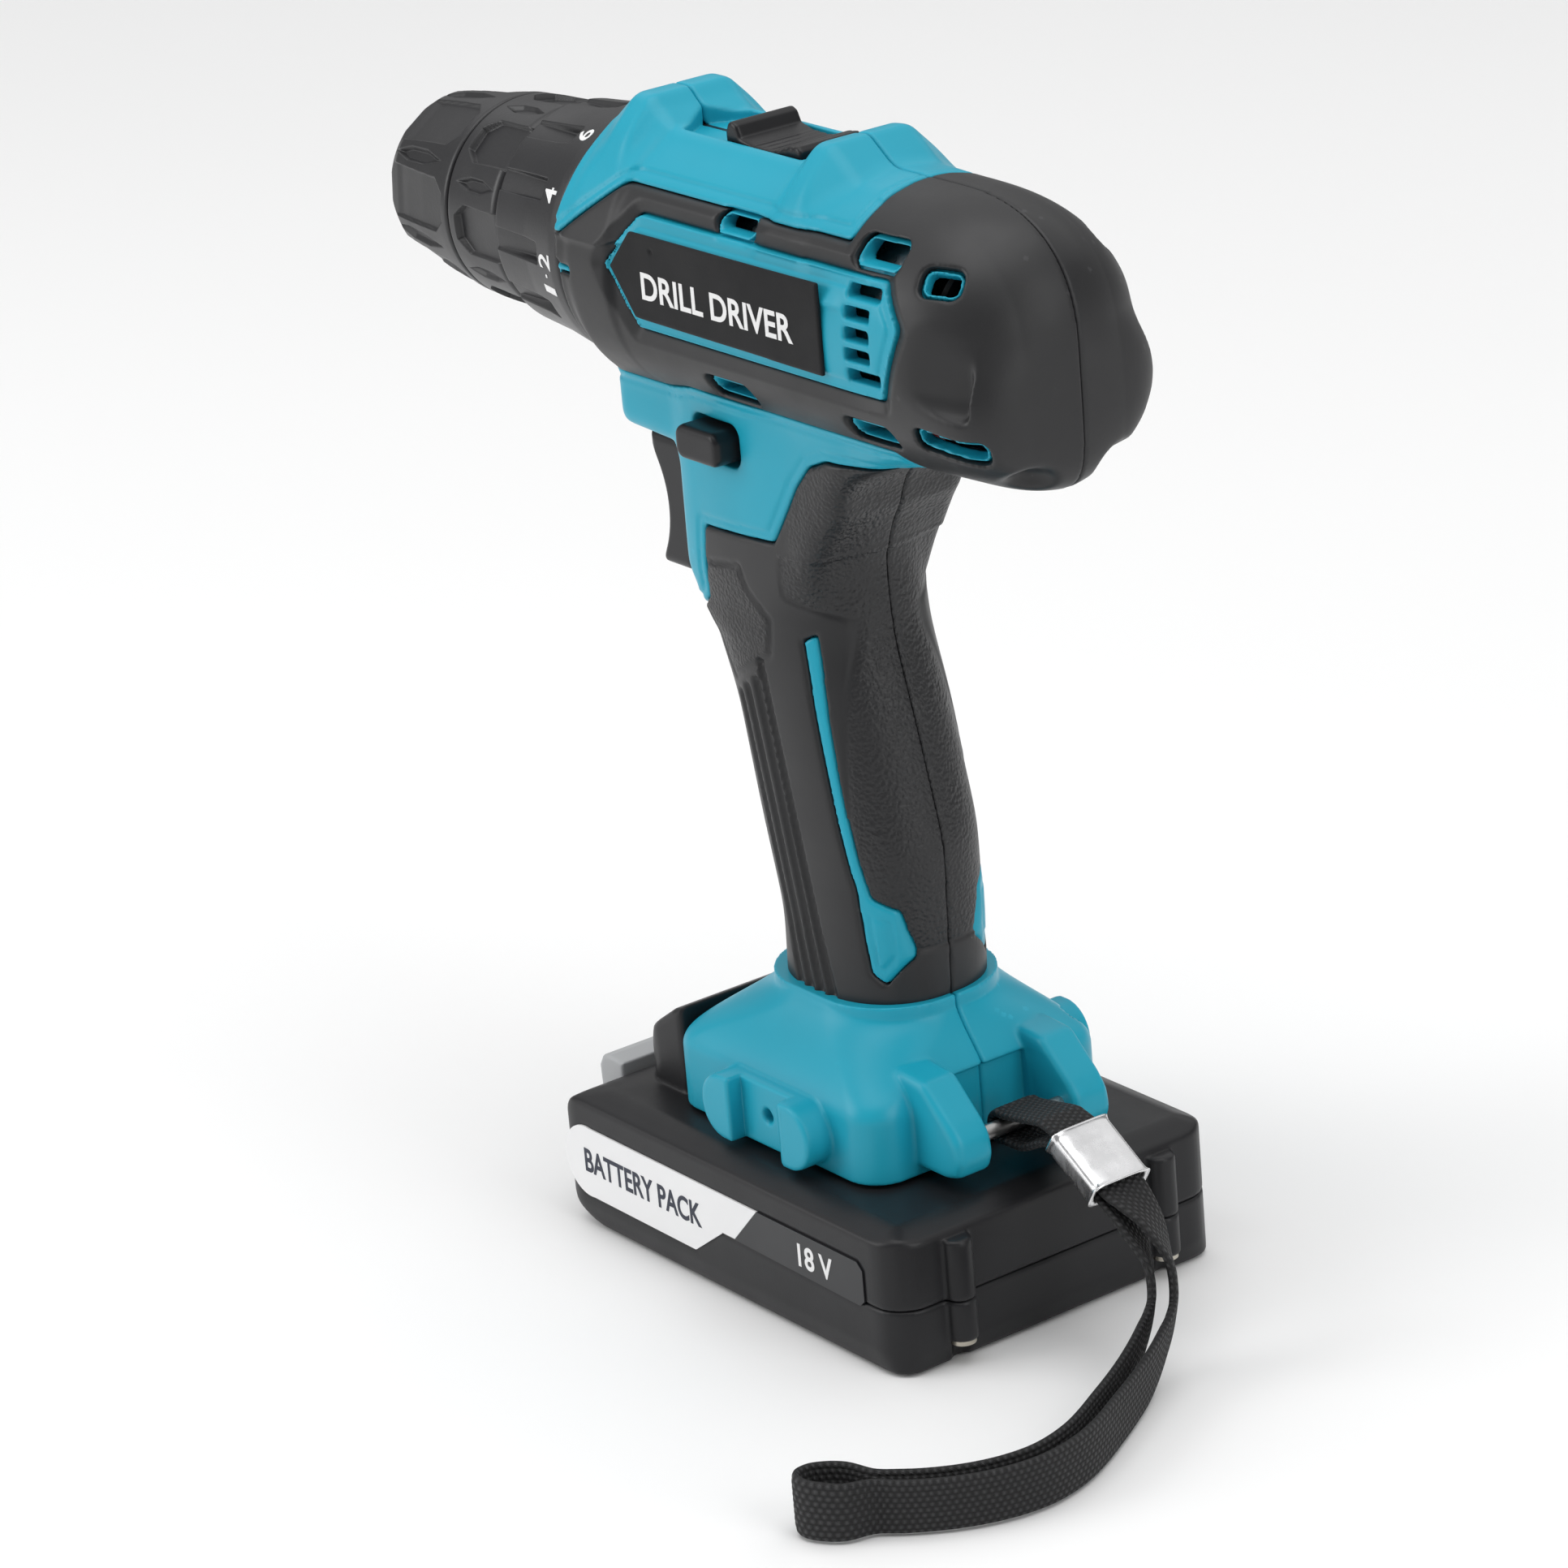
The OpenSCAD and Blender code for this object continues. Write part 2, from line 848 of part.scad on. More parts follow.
module gearbox_case() {
    color([0.3, 0.3, 0.32])
        difference() {
            union() {
                xcyl(-41.8, -6.2, 20.4);
                xcyl(-61.6, -41, 12.6);
            }
            xcyl(-33.4, -5, 18.8);
            xcyl(-70, -41, 10);
            xcyl(-45, -34.4, 10);
            xcyl(-45, -30, 7);
        }
}

// ---------- motor ----------

module motor_can() {
    color(steel)
        difference() {
            xcyl(-4.6, 47, 18.2);
            xcyl(-3, 48, 17);
            xcyl(-8, 0, 1.66);
            for (a = [0, 180])
                translate([20, 0, axis_z])
                    rotate([a, 0, 0])
                        translate([-6, -4, 10])
                            cube([12, 8, 10]);
        }
}

module motor_magnets() {
    color(black)
        for (s = [-1, 1])
            intersection() {
                xring(2, 32, 16.96, 13.4);
                translate([0, s * 15 - 5, axis_z - 12])
                    cube([40, 10, 24]);
            }
}

module rotor() {
    color(steel)
        difference() {
            union() {
                xcyl(-14.6, 55.4, 1.6);
                xcyl(4, 30, 12.8);
            }
            for (k = [0:4])
                translate([17, 0, axis_z])
                    rotate([72 * k, 0, 0])
                        translate([-14, -1.1, 7])
                            cube([28, 2.2, 8]);
        }
}

module rotor_windings() {
    color(copper_c) {
        xring(0.6, 3.9, 10.6, 4);
        xring(30.1, 34, 10.6, 4);
        for (k = [0:9])
            translate([37.6, 0, axis_z])
                rotate([36 * k, 0, 0])
                    translate([-3.4, -1, 3])
                        cube([6.8, 2, 1.6]);
    }
}

module motor_pinion() {
    color(brass_c)
        translate([0, 0, axis_z])
            difference() {
                gear(sun_z, -14.8, -7.6, 0);
                translate([-20, 0, 0])
                    rotate([0, 90, 0])
                        cylinder(h = 20, r = 1.6);
            }
}

module motor_end_cap() {
    color(black)
        difference() {
            union() {
                xcyl(44, 48, 16.9);
                xcyl(47.05, 49.4, 18.2);
                xcyl(49, 53, 5);
            }
            xcyl(40, 60, 1.66);
            xcyl(40, 50.6, 3.6);
            for (a = [0:60:300])
                translate([0, 0, axis_z])
                    rotate([a, 0, 0])
                        translate([43, -2, 9])
                            cube([8, 4, 4]);
        }
}

module brushes() {
    color(copper_c)
        for (s = [-1, 1])
            translate([35.4, s > 0 ? 5 : -11, axis_z - 1.6])
                cube([4.4, 6, 3.2]);
}

module fan() {
    color(black)
        difference() {
            union() {
                xcyl(54, 55.4, 15);
                xcyl(53.4, 60.2, 3.4);
                for (k = [0:8])
                    translate([54, 0, axis_z])
                        rotate([40 * k, 0, 0])
                            translate([0, -0.5, 3])
                                cube([6, 1, 12]);
            }
            xcyl(50, 58, 1.6);
        }
}

// ---------- controls ----------

module trigger() {
    color(black)
        difference() {
            union() {
                side([[-43.4, 150.6], [-43.4, 127], [-42.6, 125.2], [-41.6, 124.9], [-33.4, 124.9],
                      [-31.6, 127.2], [-22, 127.2], [-22, 150.6]], -trigger_w / 2, trigger_w / 2);
                bx([-22.5, -2.5, 136.4], [-12, 2.5, 143.6]);
            }
            translate([-57.4, 0, 136.2])
                rotate([90, 0, 0])
                    cylinder(h = 40, r = 18, center = true);
            bx([-36, -trigger_w / 2 + 1.8, 129], [-21, -3, 149]);
            bx([-36, 3, 129], [-21, trigger_w / 2 - 1.8, 149]);
            // bore that takes the return spring
            xcyl(-30, -21, 2.1, 147.2);
        }
}

module trigger_spring() {
    color(steel)
        for (k = [0:3])
            translate([-19.97 + k * 2, 0, 147.2])
                rotate([0, 90, 0])
                    rotate_extrude()
                        translate([1.5, 0])
                            circle(0.35, $fn = 12);
}

module switch_module() {
    color(black)
        difference() {
            union() {
                bx([-13.6, -9.4, 128], [8, 9.4, 151.6]);
                bx([-13.2, -1.4, 151.6], [-5, 1.4, 153.6]);
            }
            bx([-14, -2.8, 136], [-3.6, 2.8, 144]);
        }
}

module heat_sink() {
    color([0.75, 0.76, 0.78])
        difference() {
            bx([-9, -9.4, 121.4], [6, 9.4, 127.8]);
            for (k = [-3:3])
                bx([-10, k * 2.4 - 0.6, 121], [7, k * 2.4 + 0.6, 125.6]);
        }
}

module direction_lever() {
    color(black)
        difference() {
            translate([-9, 0, 157.6])
                rotate([90, 0, 0])
                    linear_extrude(42.4, center = true) {
                        square([9.6, 6.4], center = true);
                        square([12.6, 3.4], center = true);
                        for (i = [-1, 1])
                            for (k = [-1, 1])
                                translate([i * 4.8, k * 1.7])
                                    circle(1.5);
                    }
            bx([-12, -4, 150], [-6, 4, 156]);
        }
}

module selector_plate() {
    color(black)
        difference() {
            linear_z(well_z + eps, well_z + 0.7)
                polygon([[-29.6, 0], [-24, -7.3], [11.6, -7.3], [11.6, 7.3], [-24, 7.3]]);
            bx([-12.8, -1.9, 200], [3.6, 1.9, 210]);
        }
}

module speed_selector() {
    color(black) {
        side([[-11.4, 209], [-11.4, 211.6], [-10.6, 213.2], [-9.4, 213.6], [-8.2, 213], [-7.2, 211],
              [-4, 210.2], [1, 210.1], [4, 210.6], [7, 211.7], [9.4, 212], [10.4, 211.2],
              [10.4, 209]], -7, 7);
        bx([-2.8, -1.6, 206.7], [2.6, 1.6, 209.2]);
    }
}

// round rod of radius r from point a to point b
module rod(a, b, r) {
    d = b - a;
    translate(a)
        rotate([0, acos(d[2] / norm(d)), atan2(d[1], d[0])])
            cylinder(h = norm(d), r = r, $fn = 16);
}

module motor_leads() {
    for (s = [-1, 1])
        color(s < 0 ? [0.75, 0.1, 0.1] : black) {
            rod([24, s * 11, 168.6], [52, s * 11, 168.6], 0.9);
            rod([51.4, s * 11, 168.4], [60, s * 10, 172.4], 0.9);
        }
}

module terminal_block() {
    color(black)
        bx([26, -14, 32.6], [30.8, 14, 38.8]);
    color(brass_c)
        for (k = [-1, 0, 1])
            bx([11, k * 10.4 - 0.4, 33.6], [26, k * 10.4 + 0.4, 36.2]);
}

module housing_screws() {
    color(steel)
        at_screws() {
            difference() {
                cylinder(h = 2.2, r = 3.1);
                translate([0, 0, 1])
                    for (a = [0, 90])
                        rotate(a)
                            cube([4, 0.9, 3], center = true);
            }
            translate([0, 0, -17])
                cylinder(h = 17.2, r = 1.5);
        }
}

// ---------- strap ----------

module strap_pin() {
    color(steel)
        translate([42.8, 0, 36])
            rotate([90, 0, 0])
                cylinder(h = 34, r = 1.5, center = true);
}

// middle line of the two runs: [x, y, z, width direction]
strap_mid = [
    [54, 0, 38.6, [0, 1, 0]], [59.5, 0, 38, [0, 1, 0]], [70, 0, 31.4, [0, 1, 0]],
    [76, 0, 26, [0.3, 1, 0]], [80, 0, 19.5, [0.8, 0.7, 0.1]], [81.5, -1, 13, [0.9, 0.3, 0.5]],
    [84, -6, 8, [0.4, 0, 1]], [89.5, -15, 5.6, [0.1, 0, 1]], [97, -28, 5.2, [0, 0, 1]],
    [102, -38, 5.2, [0, 0, 1]], [104, -48, 5.2, [0, 0, 1]], [102, -58, 5.2, [0, 0, 1]],
    [97, -67, 5.2, [0, 0, 1]], [91, -74, 5.2, [0, 0, 1]]
];

function unit(v) = v / norm(v);

function mid(k) = strap_mid[max(0, min(len(strap_mid) - 1, k))];

function mid_pos(k) = [mid(k)[0], mid(k)[1], mid(k)[2]];

// Catmull-Rom curve through four points at fraction t
function spline(a, b, c, d, t) =
    0.5 * (2 * b + (c - a) * t + (2 * a - 5 * b + 4 * c - d) * t * t + (3 * b - a - 3 * c + d) * t * t * t);

function mid_at(u) =
    let (k = floor(u))
    spline(mid_pos(k - 1), mid_pos(k), mid_pos(k + 1), mid_pos(k + 2), u - k);

function width_at(u) =
    let (k = floor(u))
    let (t = u - k)
    unit(mid(k)[3] * (1 - t) + mid(k + 1)[3] * t);

function tan_at(u) = unit(mid_at(min(u + 0.05, 12.99)) - mid_at(max(u - 0.05, 0)));

function side_at(u) = unit(cross(tan_at(u), width_at(u)));

// distance from the middle line to either run: open, pinched in the ferrule, open
function gap_at(u) = u < 1 ? 1.7 - 0.7 * u : min(1.95, 1 + max(0, u - 2));

// point and width direction of one run, s = 1 outward, s = -1 back
function run(u, s) = [mid_at(u) + s * gap_at(u) * side_at(u), width_at(u)];

strap_end = 12.9;
strap_path = concat(
    [run(1.45, -1), run(1, -1), [[54.4, 0, 36.4], [0, 1, 0]], [[49, 0, 33.9], [0, 1, 0]]],
    [for (a = [295:-37.5:70]) [[42.8 + 2.7 * cos(a), 0, 36 + 2.7 * sin(a)], [0, 1, 0]]],
    [[[49, 0, 39.4], [0, 1, 0]]],
    [for (k = [0:26]) run(strap_end * k / 26, 1)],
    [for (q = [[5, 4.2], [10, 3.6], [12.6, 1.4], [12.6, -1.4], [10, -3.6], [5, -4.2]])
        [mid_at(strap_end) + q[0] * tan_at(strap_end) + q[1] * side_at(strap_end), [0, 0, 1]]],
    [for (k = [26:-1:4]) run(strap_end * k / 26, -1)]
);

module wrist_strap() {
    m = len(strap_path);
    h = strap_w / 2;
    t = strap_t / 2;
    cs = [[h, 0.5 * t], [h - 0.6, t], [0.6 - h, t], [-h, 0.5 * t],
          [-h, -0.5 * t], [0.6 - h, -t], [h - 0.6, -t], [h, -0.5 * t]];
    pts = [
        for (i = [0:m - 1])
            let (d = unit(strap_path[min(i + 1, m - 1)][0] - strap_path[max(i - 1, 0)][0]))
            let (n = unit(cross(d, strap_path[i][1])))
            let (w = cross(n, d))
            for (q = cs)
                strap_path[i][0] + q[0] * w + q[1] * n
    ];
    sides = [
        for (i = [0:m - 2])
            for (j = [0:7])
                let (a = i * 8 + j)
                let (b = i * 8 + (j + 1) % 8)
                each [[a, a + 8, b], [b, a + 8, b + 8]]
    ];
    ends = [[for (j = [0:7]) j], [for (j = [7:-1:0]) (m - 1) * 8 + j]];
    color([0.05, 0.05, 0.06])
        polyhedron(points = pts, faces = concat(ends, sides));
}

module strap_ferrule() {
    color(steel)
        translate([64.8, 0, 35])
            rotate([0, 32.5, 0])
                rotate([90, 0, 90])
                    translate([0, 0, -6.6])
                        linear_extrude(13.2)
                            difference() {
                                union() {
                                    square([9.8, 5.8], center = true);
                                    square([12.6, 3], center = true);
                                    for (i = [-1, 1])
                                        for (k = [-1, 1])
                                            translate([i * 4.9, k * 1.5])
                                                circle(1.4);
                                }
                                square([10.2, 3.9], center = true);
                            }
}

// ---------- battery pack ----------

// outer form of the pack, inset by d
module pack(d) {
    l = pack_l / 2 - d;
    w = pack_w / 2 - d;
    intersection() {
        rprism(-l, l, w, 8, d, pack_h - d);
        translate([0, w, 0])
            rotate([90, 0, 0])
                linear_extrude(2 * w) {
                    translate([14 - pack_l / 2, 14])
                        circle(14 - d);
                    polygon([[14 - pack_l / 2, d], [l - 1.4, d], [l, 4], [l, pack_h - 2.4 - d / 2],
                             [l - 5.5, pack_h - d], [14 - pack_l / 2, pack_h - d]]);
                }
        rotate([90, 0, 90])
            translate([0, 0, -l])
                linear_extrude(2 * l)
                    polygon([[-w + 1.2, d], [w - 1.2, d], [w, 4.5], [w, pack_h - 2.4 - d / 2],
                             [w - 5.4, pack_h - d], [5.4 - w, pack_h - d],
                             [-w, pack_h - 2.4 - d / 2], [-w, 4.5]]);
    }
}

boss_y = 23.6;

module pack_form() {
    pack(0);
    for (s = [-1, 1])
        translate([pack_l / 2, s * boss_y, 4.6])
            cylinder(h = 20, r = 2.9);
    // tower in front of the foot
    intersection() {
        rprism(-41.2, -10, 24, 7, 27, 46);
        side([[-41.2, 27], [-40.6, 33], [-37, 39], [-29.4, 44.2], [-26.4, 45.4], [-26.4, 27]], -24, 24);
    }
    // sliding rail
    bx([-27, -14.8, 27], [24.6, 14.8, 32.8]);
    bx([-27, -18.6, 32.6], [24.6, 18.6, 36.4]);
}

module label_outline() {
    polygon([[-41.5, 20.9], [41.5, 20.6], [43, 19.2], [43, 13.2], [41.6, 12], [0.5, 12.8],
             [-8.6, 6.5], [-41.5, 6.7]]);
    translate([-42, 13.8])
        circle(7.2);
}

module label(s, t) {
    translate([0, s * (pack_w / 2 - 0.25), 0])
        rotate([90, 0, 0])
            translate([0, 0, -t / 2])
                linear_extrude(t)
                    label_outline();
}

module pack_hollow() {
    difference() {
        pack(2.3);
        for (s = [-1, 1])
            translate([pack_l / 2, s * boss_y, 0])
                cylinder(h = 30, r = 3.2);
    }
    for (s = [-1, 1]) {
        // screw channel and open slot below each boss
        translate([pack_l / 2, s * boss_y, -1])
            cylinder(h = 6.6, r = 2.7);
        translate([pack_l / 2, s * boss_y, 0])
            cylinder(h = 20, r = 1.3);
        label(s, 0.7);
    }
    // latch pocket
    bx([-60, -25, 17.6], [-46.4, 25, 34]);
    // contact slots in the rail
    for (k = [-1, 0, 1])
        bx([9, k * 10.4 - 1, 33], [30, k * 10.4 + 1, 40]);
    bx([-20, -10, 24], [4, 10, 34]);
}

module battery_case_lower() {
    color(black)
        intersection() {
            difference() {
                pack_form();
                pack_hollow();
            }
            bx([-70, -50, -1], [70, 50, parting_z]);
        }
}

module battery_case_upper() {
    color(black)
        intersection() {
            difference() {
                pack_form();
                pack_hollow();
            }
            bx([-70, -50, parting_z + 0.02], [70, 50, 60]);
        }
}

module battery_cells() {
    color([0.2, 0.55, 0.3])
        for (k = [-2:2])
            translate([k * (cell_d + 0.3), 0, 12.4])
                rotate([90, 0, 0]) {
                    cylinder(h = cell_l - 1, r = cell_d / 2, center = true);
                    cylinder(h = cell_l, r = 3, center = true);
                }
}

module battery_circuit() {
    color([0.1, 0.35, 0.2])
        bx([-24, -17, 22.6], [30, 17, 24.2]);
}

module battery_contacts() {
    color(brass_c)
        for (k = [-1, 0, 1])
            for (s = [-1, 1])
                bx([10, k * 10.4 + s * 0.7 - 0.15, 33.1], [22, k * 10.4 + s * 0.7 + 0.15, 36]);
}

module battery_latch() {
    color([0.55, 0.56, 0.58])
        side([[-54.4, 20.6], [-54.6, 26], [-53.4, 28], [-51, 28.6], [-46.8, 28.2], [-46.8, 20.6]],
             -24.6, 24.6);
}

module battery_screws() {
    color(steel)
        for (s = [-1, 1])
            translate([pack_l / 2, s * boss_y, 5.6]) {
                cylinder(h = 13, r = 1.28);
                translate([0, 0, -1.6])
                    difference() {
                        cylinder(h = 1.6, r = 2.4);
                        translate([0, 0, -0.2])
                            for (a = [0, 90])
                                rotate(a)
                                    cube([3.2, 0.8, 1.4], center = true);
                    }
            }
}

module battery_label_left() {
    color(white_c) label(-1, 0.45);
}

module battery_label_right() {
    color(white_c) label(1, 0.45);
}

housing_left();
housing_right();
overmould_left();
overmould_right();
badge_left();
badge_right();
housing_screws();
chuck_body();
chuck_front_sleeve();
chuck_rear_sleeve();
chuck_nut();
chuck_jaw_1();
chuck_jaw_2();
chuck_jaw_3();
chuck_screw();
torque_ring();
clutch_spring();
clutch_washer();
gearbox_case();
ring_gear_front();
ring_gear_rear();
planet_front_1();
planet_front_2();
planet_front_3();
planet_rear_1();
planet_rear_2();
planet_rear_3();
carrier_first();
spindle();
spindle_bearing();
spindle_bush();
motor_can();
motor_magnets();
rotor();
rotor_windings();
motor_pinion();
motor_end_cap();
brushes();
fan();
trigger();
trigger_spring();
switch_module();
heat_sink();
direction_lever();
selector_plate();
speed_selector();
motor_leads();
terminal_block();
strap_pin();
wrist_strap();
strap_ferrule();
battery_case_lower();
battery_case_upper();
battery_cells();
battery_circuit();
battery_contacts();
battery_latch();
battery_screws();
battery_label_left();
battery_label_right();
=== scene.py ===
import bpy
import math
import numpy as np
from mathutils import Vector, Matrix


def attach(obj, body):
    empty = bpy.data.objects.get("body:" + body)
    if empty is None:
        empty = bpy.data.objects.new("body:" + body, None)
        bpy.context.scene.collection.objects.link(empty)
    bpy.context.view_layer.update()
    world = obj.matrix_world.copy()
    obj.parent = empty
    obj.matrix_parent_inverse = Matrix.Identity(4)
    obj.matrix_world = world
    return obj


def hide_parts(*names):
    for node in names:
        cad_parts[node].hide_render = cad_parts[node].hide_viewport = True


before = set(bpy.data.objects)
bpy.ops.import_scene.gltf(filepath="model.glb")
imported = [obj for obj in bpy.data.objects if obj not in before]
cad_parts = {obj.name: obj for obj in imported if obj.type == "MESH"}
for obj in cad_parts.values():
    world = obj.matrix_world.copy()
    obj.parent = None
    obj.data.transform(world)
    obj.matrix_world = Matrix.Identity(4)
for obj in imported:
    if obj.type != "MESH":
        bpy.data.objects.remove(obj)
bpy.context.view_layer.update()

MM = 0.001
AXIS_Z = 186.0
scene = bpy.context.scene

# ------------------------------------------------------------------ camera
az, el, roll = 0.9548, 0.3628, -0.0873
back = Vector((math.sin(az) * math.cos(el), -math.cos(az) * math.cos(el), math.sin(el)))
right = (-back).cross(Vector((0, 0, 1))).normalized()
up = back.cross(right)
r2 = right * math.cos(roll) + up * math.sin(roll)
u2 = -right * math.sin(roll) + up * math.cos(roll)
cam_data = bpy.data.cameras.new("camera")
cam_data.sensor_width = 36
cam_data.lens = 135.56
cam_data.clip_start = 0.05
cam = bpy.data.objects.new("camera", cam_data)
scene.collection.objects.link(cam)
cam.matrix_world = Matrix((
    (r2.x, u2.x, back.x, 0.810826), (r2.y, u2.y, back.y, -0.588589),
    (r2.z, u2.z, back.z, 0.471132), (0, 0, 0, 1)))
scene.camera = cam


# ------------------------------------------------------------------ materials
class Nodes:
    """Short way to build a node tree around one Principled shader."""

    def __init__(self, name, color, rough, metal=0.0):
        self.mat = bpy.data.materials.new(name)
        self.mat.use_nodes = True
        self.t = self.mat.node_tree
        self.p = self.t.nodes["Principled BSDF"]
        self.p.inputs["Metallic"].default_value = metal
        self.p.inputs["Roughness"].default_value = rough
        self.p.inputs["Base Color"].default_value = (*color, 1)
        self.color, self.rough = color, rough
        self.co = self.node("ShaderNodeTexCoord").outputs["Object"]
        self.normal = None

    def node(self, kind, **vals):
        n = self.t.nodes.new(kind)
        for k, v in vals.items():
            if k in n.inputs:
                n.inputs[k].default_value = v
            else:
                setattr(n, k, v)
        return n

    def link(self, a, b):
        self.t.links.new(a, b)

    def noise(self, scale, detail=3, rough=0.5, vec=None):
        n = self.node("ShaderNodeTexNoise", Scale=scale, Detail=detail, Roughness=rough)
        self.link(vec or self.co, n.inputs["Vector"])
        return n.outputs["Fac"]

    def voronoi(self, scale, feature="SMOOTH_F1", vec=None):
        n = self.node("ShaderNodeTexVoronoi", feature=feature, Scale=scale)
        self.link(vec or self.co, n.inputs["Vector"])
        return n.outputs["Distance"]

    def math(self, op, a, b=None, clamp=False):
        n = self.node("ShaderNodeMath", operation=op, use_clamp=clamp)
        for i, v in enumerate((a, b)):
            if v is None:
                continue
            if hasattr(v, "is_linked"):
                self.link(v, n.inputs[i])
            else:
                n.inputs[i].default_value = v
        return n.outputs[0]

    def ramp(self, fac, lo, hi, a, b):
        """Maps fac from lo..hi to a..b, clamped."""
        n = self.node("ShaderNodeMapRange")
        self.link(fac, n.inputs["Value"])
        for k, v in zip(("From Min", "From Max", "To Min", "To Max"), (lo, hi, a, b)):
            if hasattr(v, "is_linked"):
                self.link(v, n.inputs[k])
            else:
                n.inputs[k].default_value = v
        return n.outputs["Result"]

    def mix(self, fac, a, b):
        n = self.node("ShaderNodeMix", data_type="RGBA")
        if hasattr(fac, "is_linked"):
            self.link(fac, n.inputs["Factor"])
        else:
            n.inputs["Factor"].default_value = fac
        for v, i in ((a, 6), (b, 7)):
            if hasattr(v, "is_linked"):
                self.link(v, n.inputs[i])
            else:
                n.inputs[i].default_value = (*v, 1) if len(v) == 3 else v
        return n.outputs[2]

    def bump(self, height, strength, dist=0.0002):
        n = self.node("ShaderNodeBump", Strength=strength, Distance=dist)
        self.link(height, n.inputs["Height"])
        if self.normal is not None:
            self.link(self.normal, n.inputs["Normal"])
        self.normal = n.outputs["Normal"]

    def edge(self, lo=0.52, hi=0.6):
        g = self.node("ShaderNodeNewGeometry")
        return self.ramp(g.outputs["Pointiness"], lo, hi, 0.0, 1.0)

    def done(self, color=None, rough=None):
        if color is not None:
            self.link(color, self.p.inputs["Base Color"])
        if rough is not None:
            self.link(rough, self.p.inputs["Roughness"])
        if self.normal is not None:
            self.link(self.normal, self.p.inputs["Normal"])
        return self.mat


def lift(c, k):
    return tuple(min(1.0, max(0.0, v * k)) for v in c)


def plastic(name, color, rough=0.42, grain=1800, strength=0.25, var=0.12, edge_lightening=0.25, pebble=None, spec=0.3):
    n = Nodes(name, color, rough)
    broad = n.noise(22, 4, 0.55)
    fine = n.noise(grain, 2, 0.6)
    col = n.mix(n.ramp(broad, 0.3, 0.7, 0.0, 1.0), lift(color, 1 - var), lift(color, 1 + var))
    scuff_v = n.node("ShaderNodeMapping")
    scuff_v.inputs["Scale"].default_value = (160, 160, 900)
    n.link(n.co, scuff_v.inputs["Vector"])
    scuff = n.ramp(n.noise(1.0, 3, 0.6, scuff_v.outputs["Vector"]), 0.66, 0.78, 0.0, 1.0)
    col = n.mix(n.math("MULTIPLY", scuff, 0.06), col, lift(color, 1.6))
    # Convex edges are lightened by the edge mask: rubbed wear on most parts; on the chuck sleeves, with their
    # strong setting, mostly painted highlight along the panel edges.
    if edge_lightening:
        lighter_edge_mask = n.math("MULTIPLY", n.edge(), n.ramp(n.noise(140, 4), 0.4, 0.65, 0.15, 1.0))
        col = n.mix(n.math("MULTIPLY", lighter_edge_mask, edge_lightening), col, tuple(min(1, v * 1.5 + 0.03) for v in color))
    r = n.ramp(n.noise(60, 4, 0.6), 0.3, 0.7, rough - 0.06, rough + 0.06)
    r = n.math("ADD", r, n.math("MULTIPLY", scuff, -0.05))
    n.bump(fine, strength, 0.00004)
    if pebble:
        scale, depth = pebble
        cell = n.voronoi(scale)
        n.bump(n.math("ADD", cell, n.math("MULTIPLY", n.noise(scale * 0.7, 2), 0.6)), depth, 0.00028)
    n.p.inputs["Specular IOR Level"].default_value = spec
    return n.done(col, r)


def metal(name, color, rough, brush=(900, 900, 60), depth=0.15, dark=0.6, edge_lightening=0.0):
    n = Nodes(name, color, rough, 1.0)
    m = n.node("ShaderNodeMapping")
    m.inputs["Scale"].default_value = brush
    n.link(n.co, m.inputs["Vector"])
    lines = n.noise(1.0, 3, 0.6, m.outputs["Vector"])
    spots = n.noise(90, 4, 0.6)
    col = n.mix(n.ramp(spots, 0.35, 0.75, 0.0, 1.0), color, lift(color, dark))
    if edge_lightening:
        col = n.mix(n.math("MULTIPLY", n.edge(), edge_lightening), col, lift(color, 1.4))
    r = n.math("ADD", n.ramp(lines, 0.3, 0.7, rough - 0.08, rough + 0.1), n.math("MULTIPLY", spots, 0.06))
    n.bump(lines, depth, 0.00003)
    return n.done(col, r)


TEAL = (0.012, 0.335, 0.465)
teal = plastic("teal_moulded_plastic", TEAL, 0.36, 2100, 0.16, 0.05, 0.35)
black = plastic("black_moulded_plastic", (0.013, 0.013, 0.0145), 0.4, 2100, 0.28, 0.15, 0.45)
badge_mat = plastic("badge_plate_plastic", (0.009, 0.009, 0.01), 0.58, 1900, 0.3, 0.15, 0.3, spec=0.2)
black_fine = plastic("black_satin_plastic", (0.011, 0.011, 0.0125), 0.33, 2600, 0.1, 0.12, 0.3)
# The chuck sleeves' strong edge lightening (0.9) is painted highlight along the panel edges, with a little rubbed
# wear.
sleeve_mat = plastic("black_blasted_plastic", (0.015, 0.015, 0.0168), 0.38, 1500, 0.5, 0.16, 0.9, spec=0.5)
pack_mat = plastic("battery_case_plastic", (0.0125, 0.0125, 0.014), 0.38, 2300, 0.26, 0.14, 0.5)
grey = plastic("grey_latch_plastic", (0.42, 0.43, 0.44), 0.4, 2000, 0.2, 0.06, 0.2)
steel = metal("turned_steel", (0.62, 0.61, 0.6), 0.3)
dark_steel = metal("phosphated_steel", (0.2, 0.2, 0.21), 0.42)
crimp = metal("crimped_tin_plate", (0.86, 0.86, 0.87), 0.22, (500, 500, 120), 0.25, 0.8, 0.3)
brass = metal("machined_brass", (0.62, 0.5, 0.3), 0.33)
screw_mat = metal("worn_screw_head", (0.6, 0.56, 0.48), 0.34, (1200, 1200, 300), 0.3, 0.5)
copper = metal("enamelled_copper", (0.72, 0.33, 0.16), 0.3, (300, 2000, 2000), 0.4)
alloy = metal("extruded_aluminium", (0.74, 0.75, 0.77), 0.36)
magnet = plastic("sintered_ferrite", (0.05, 0.05, 0.052), 0.6, 900, 0.6)
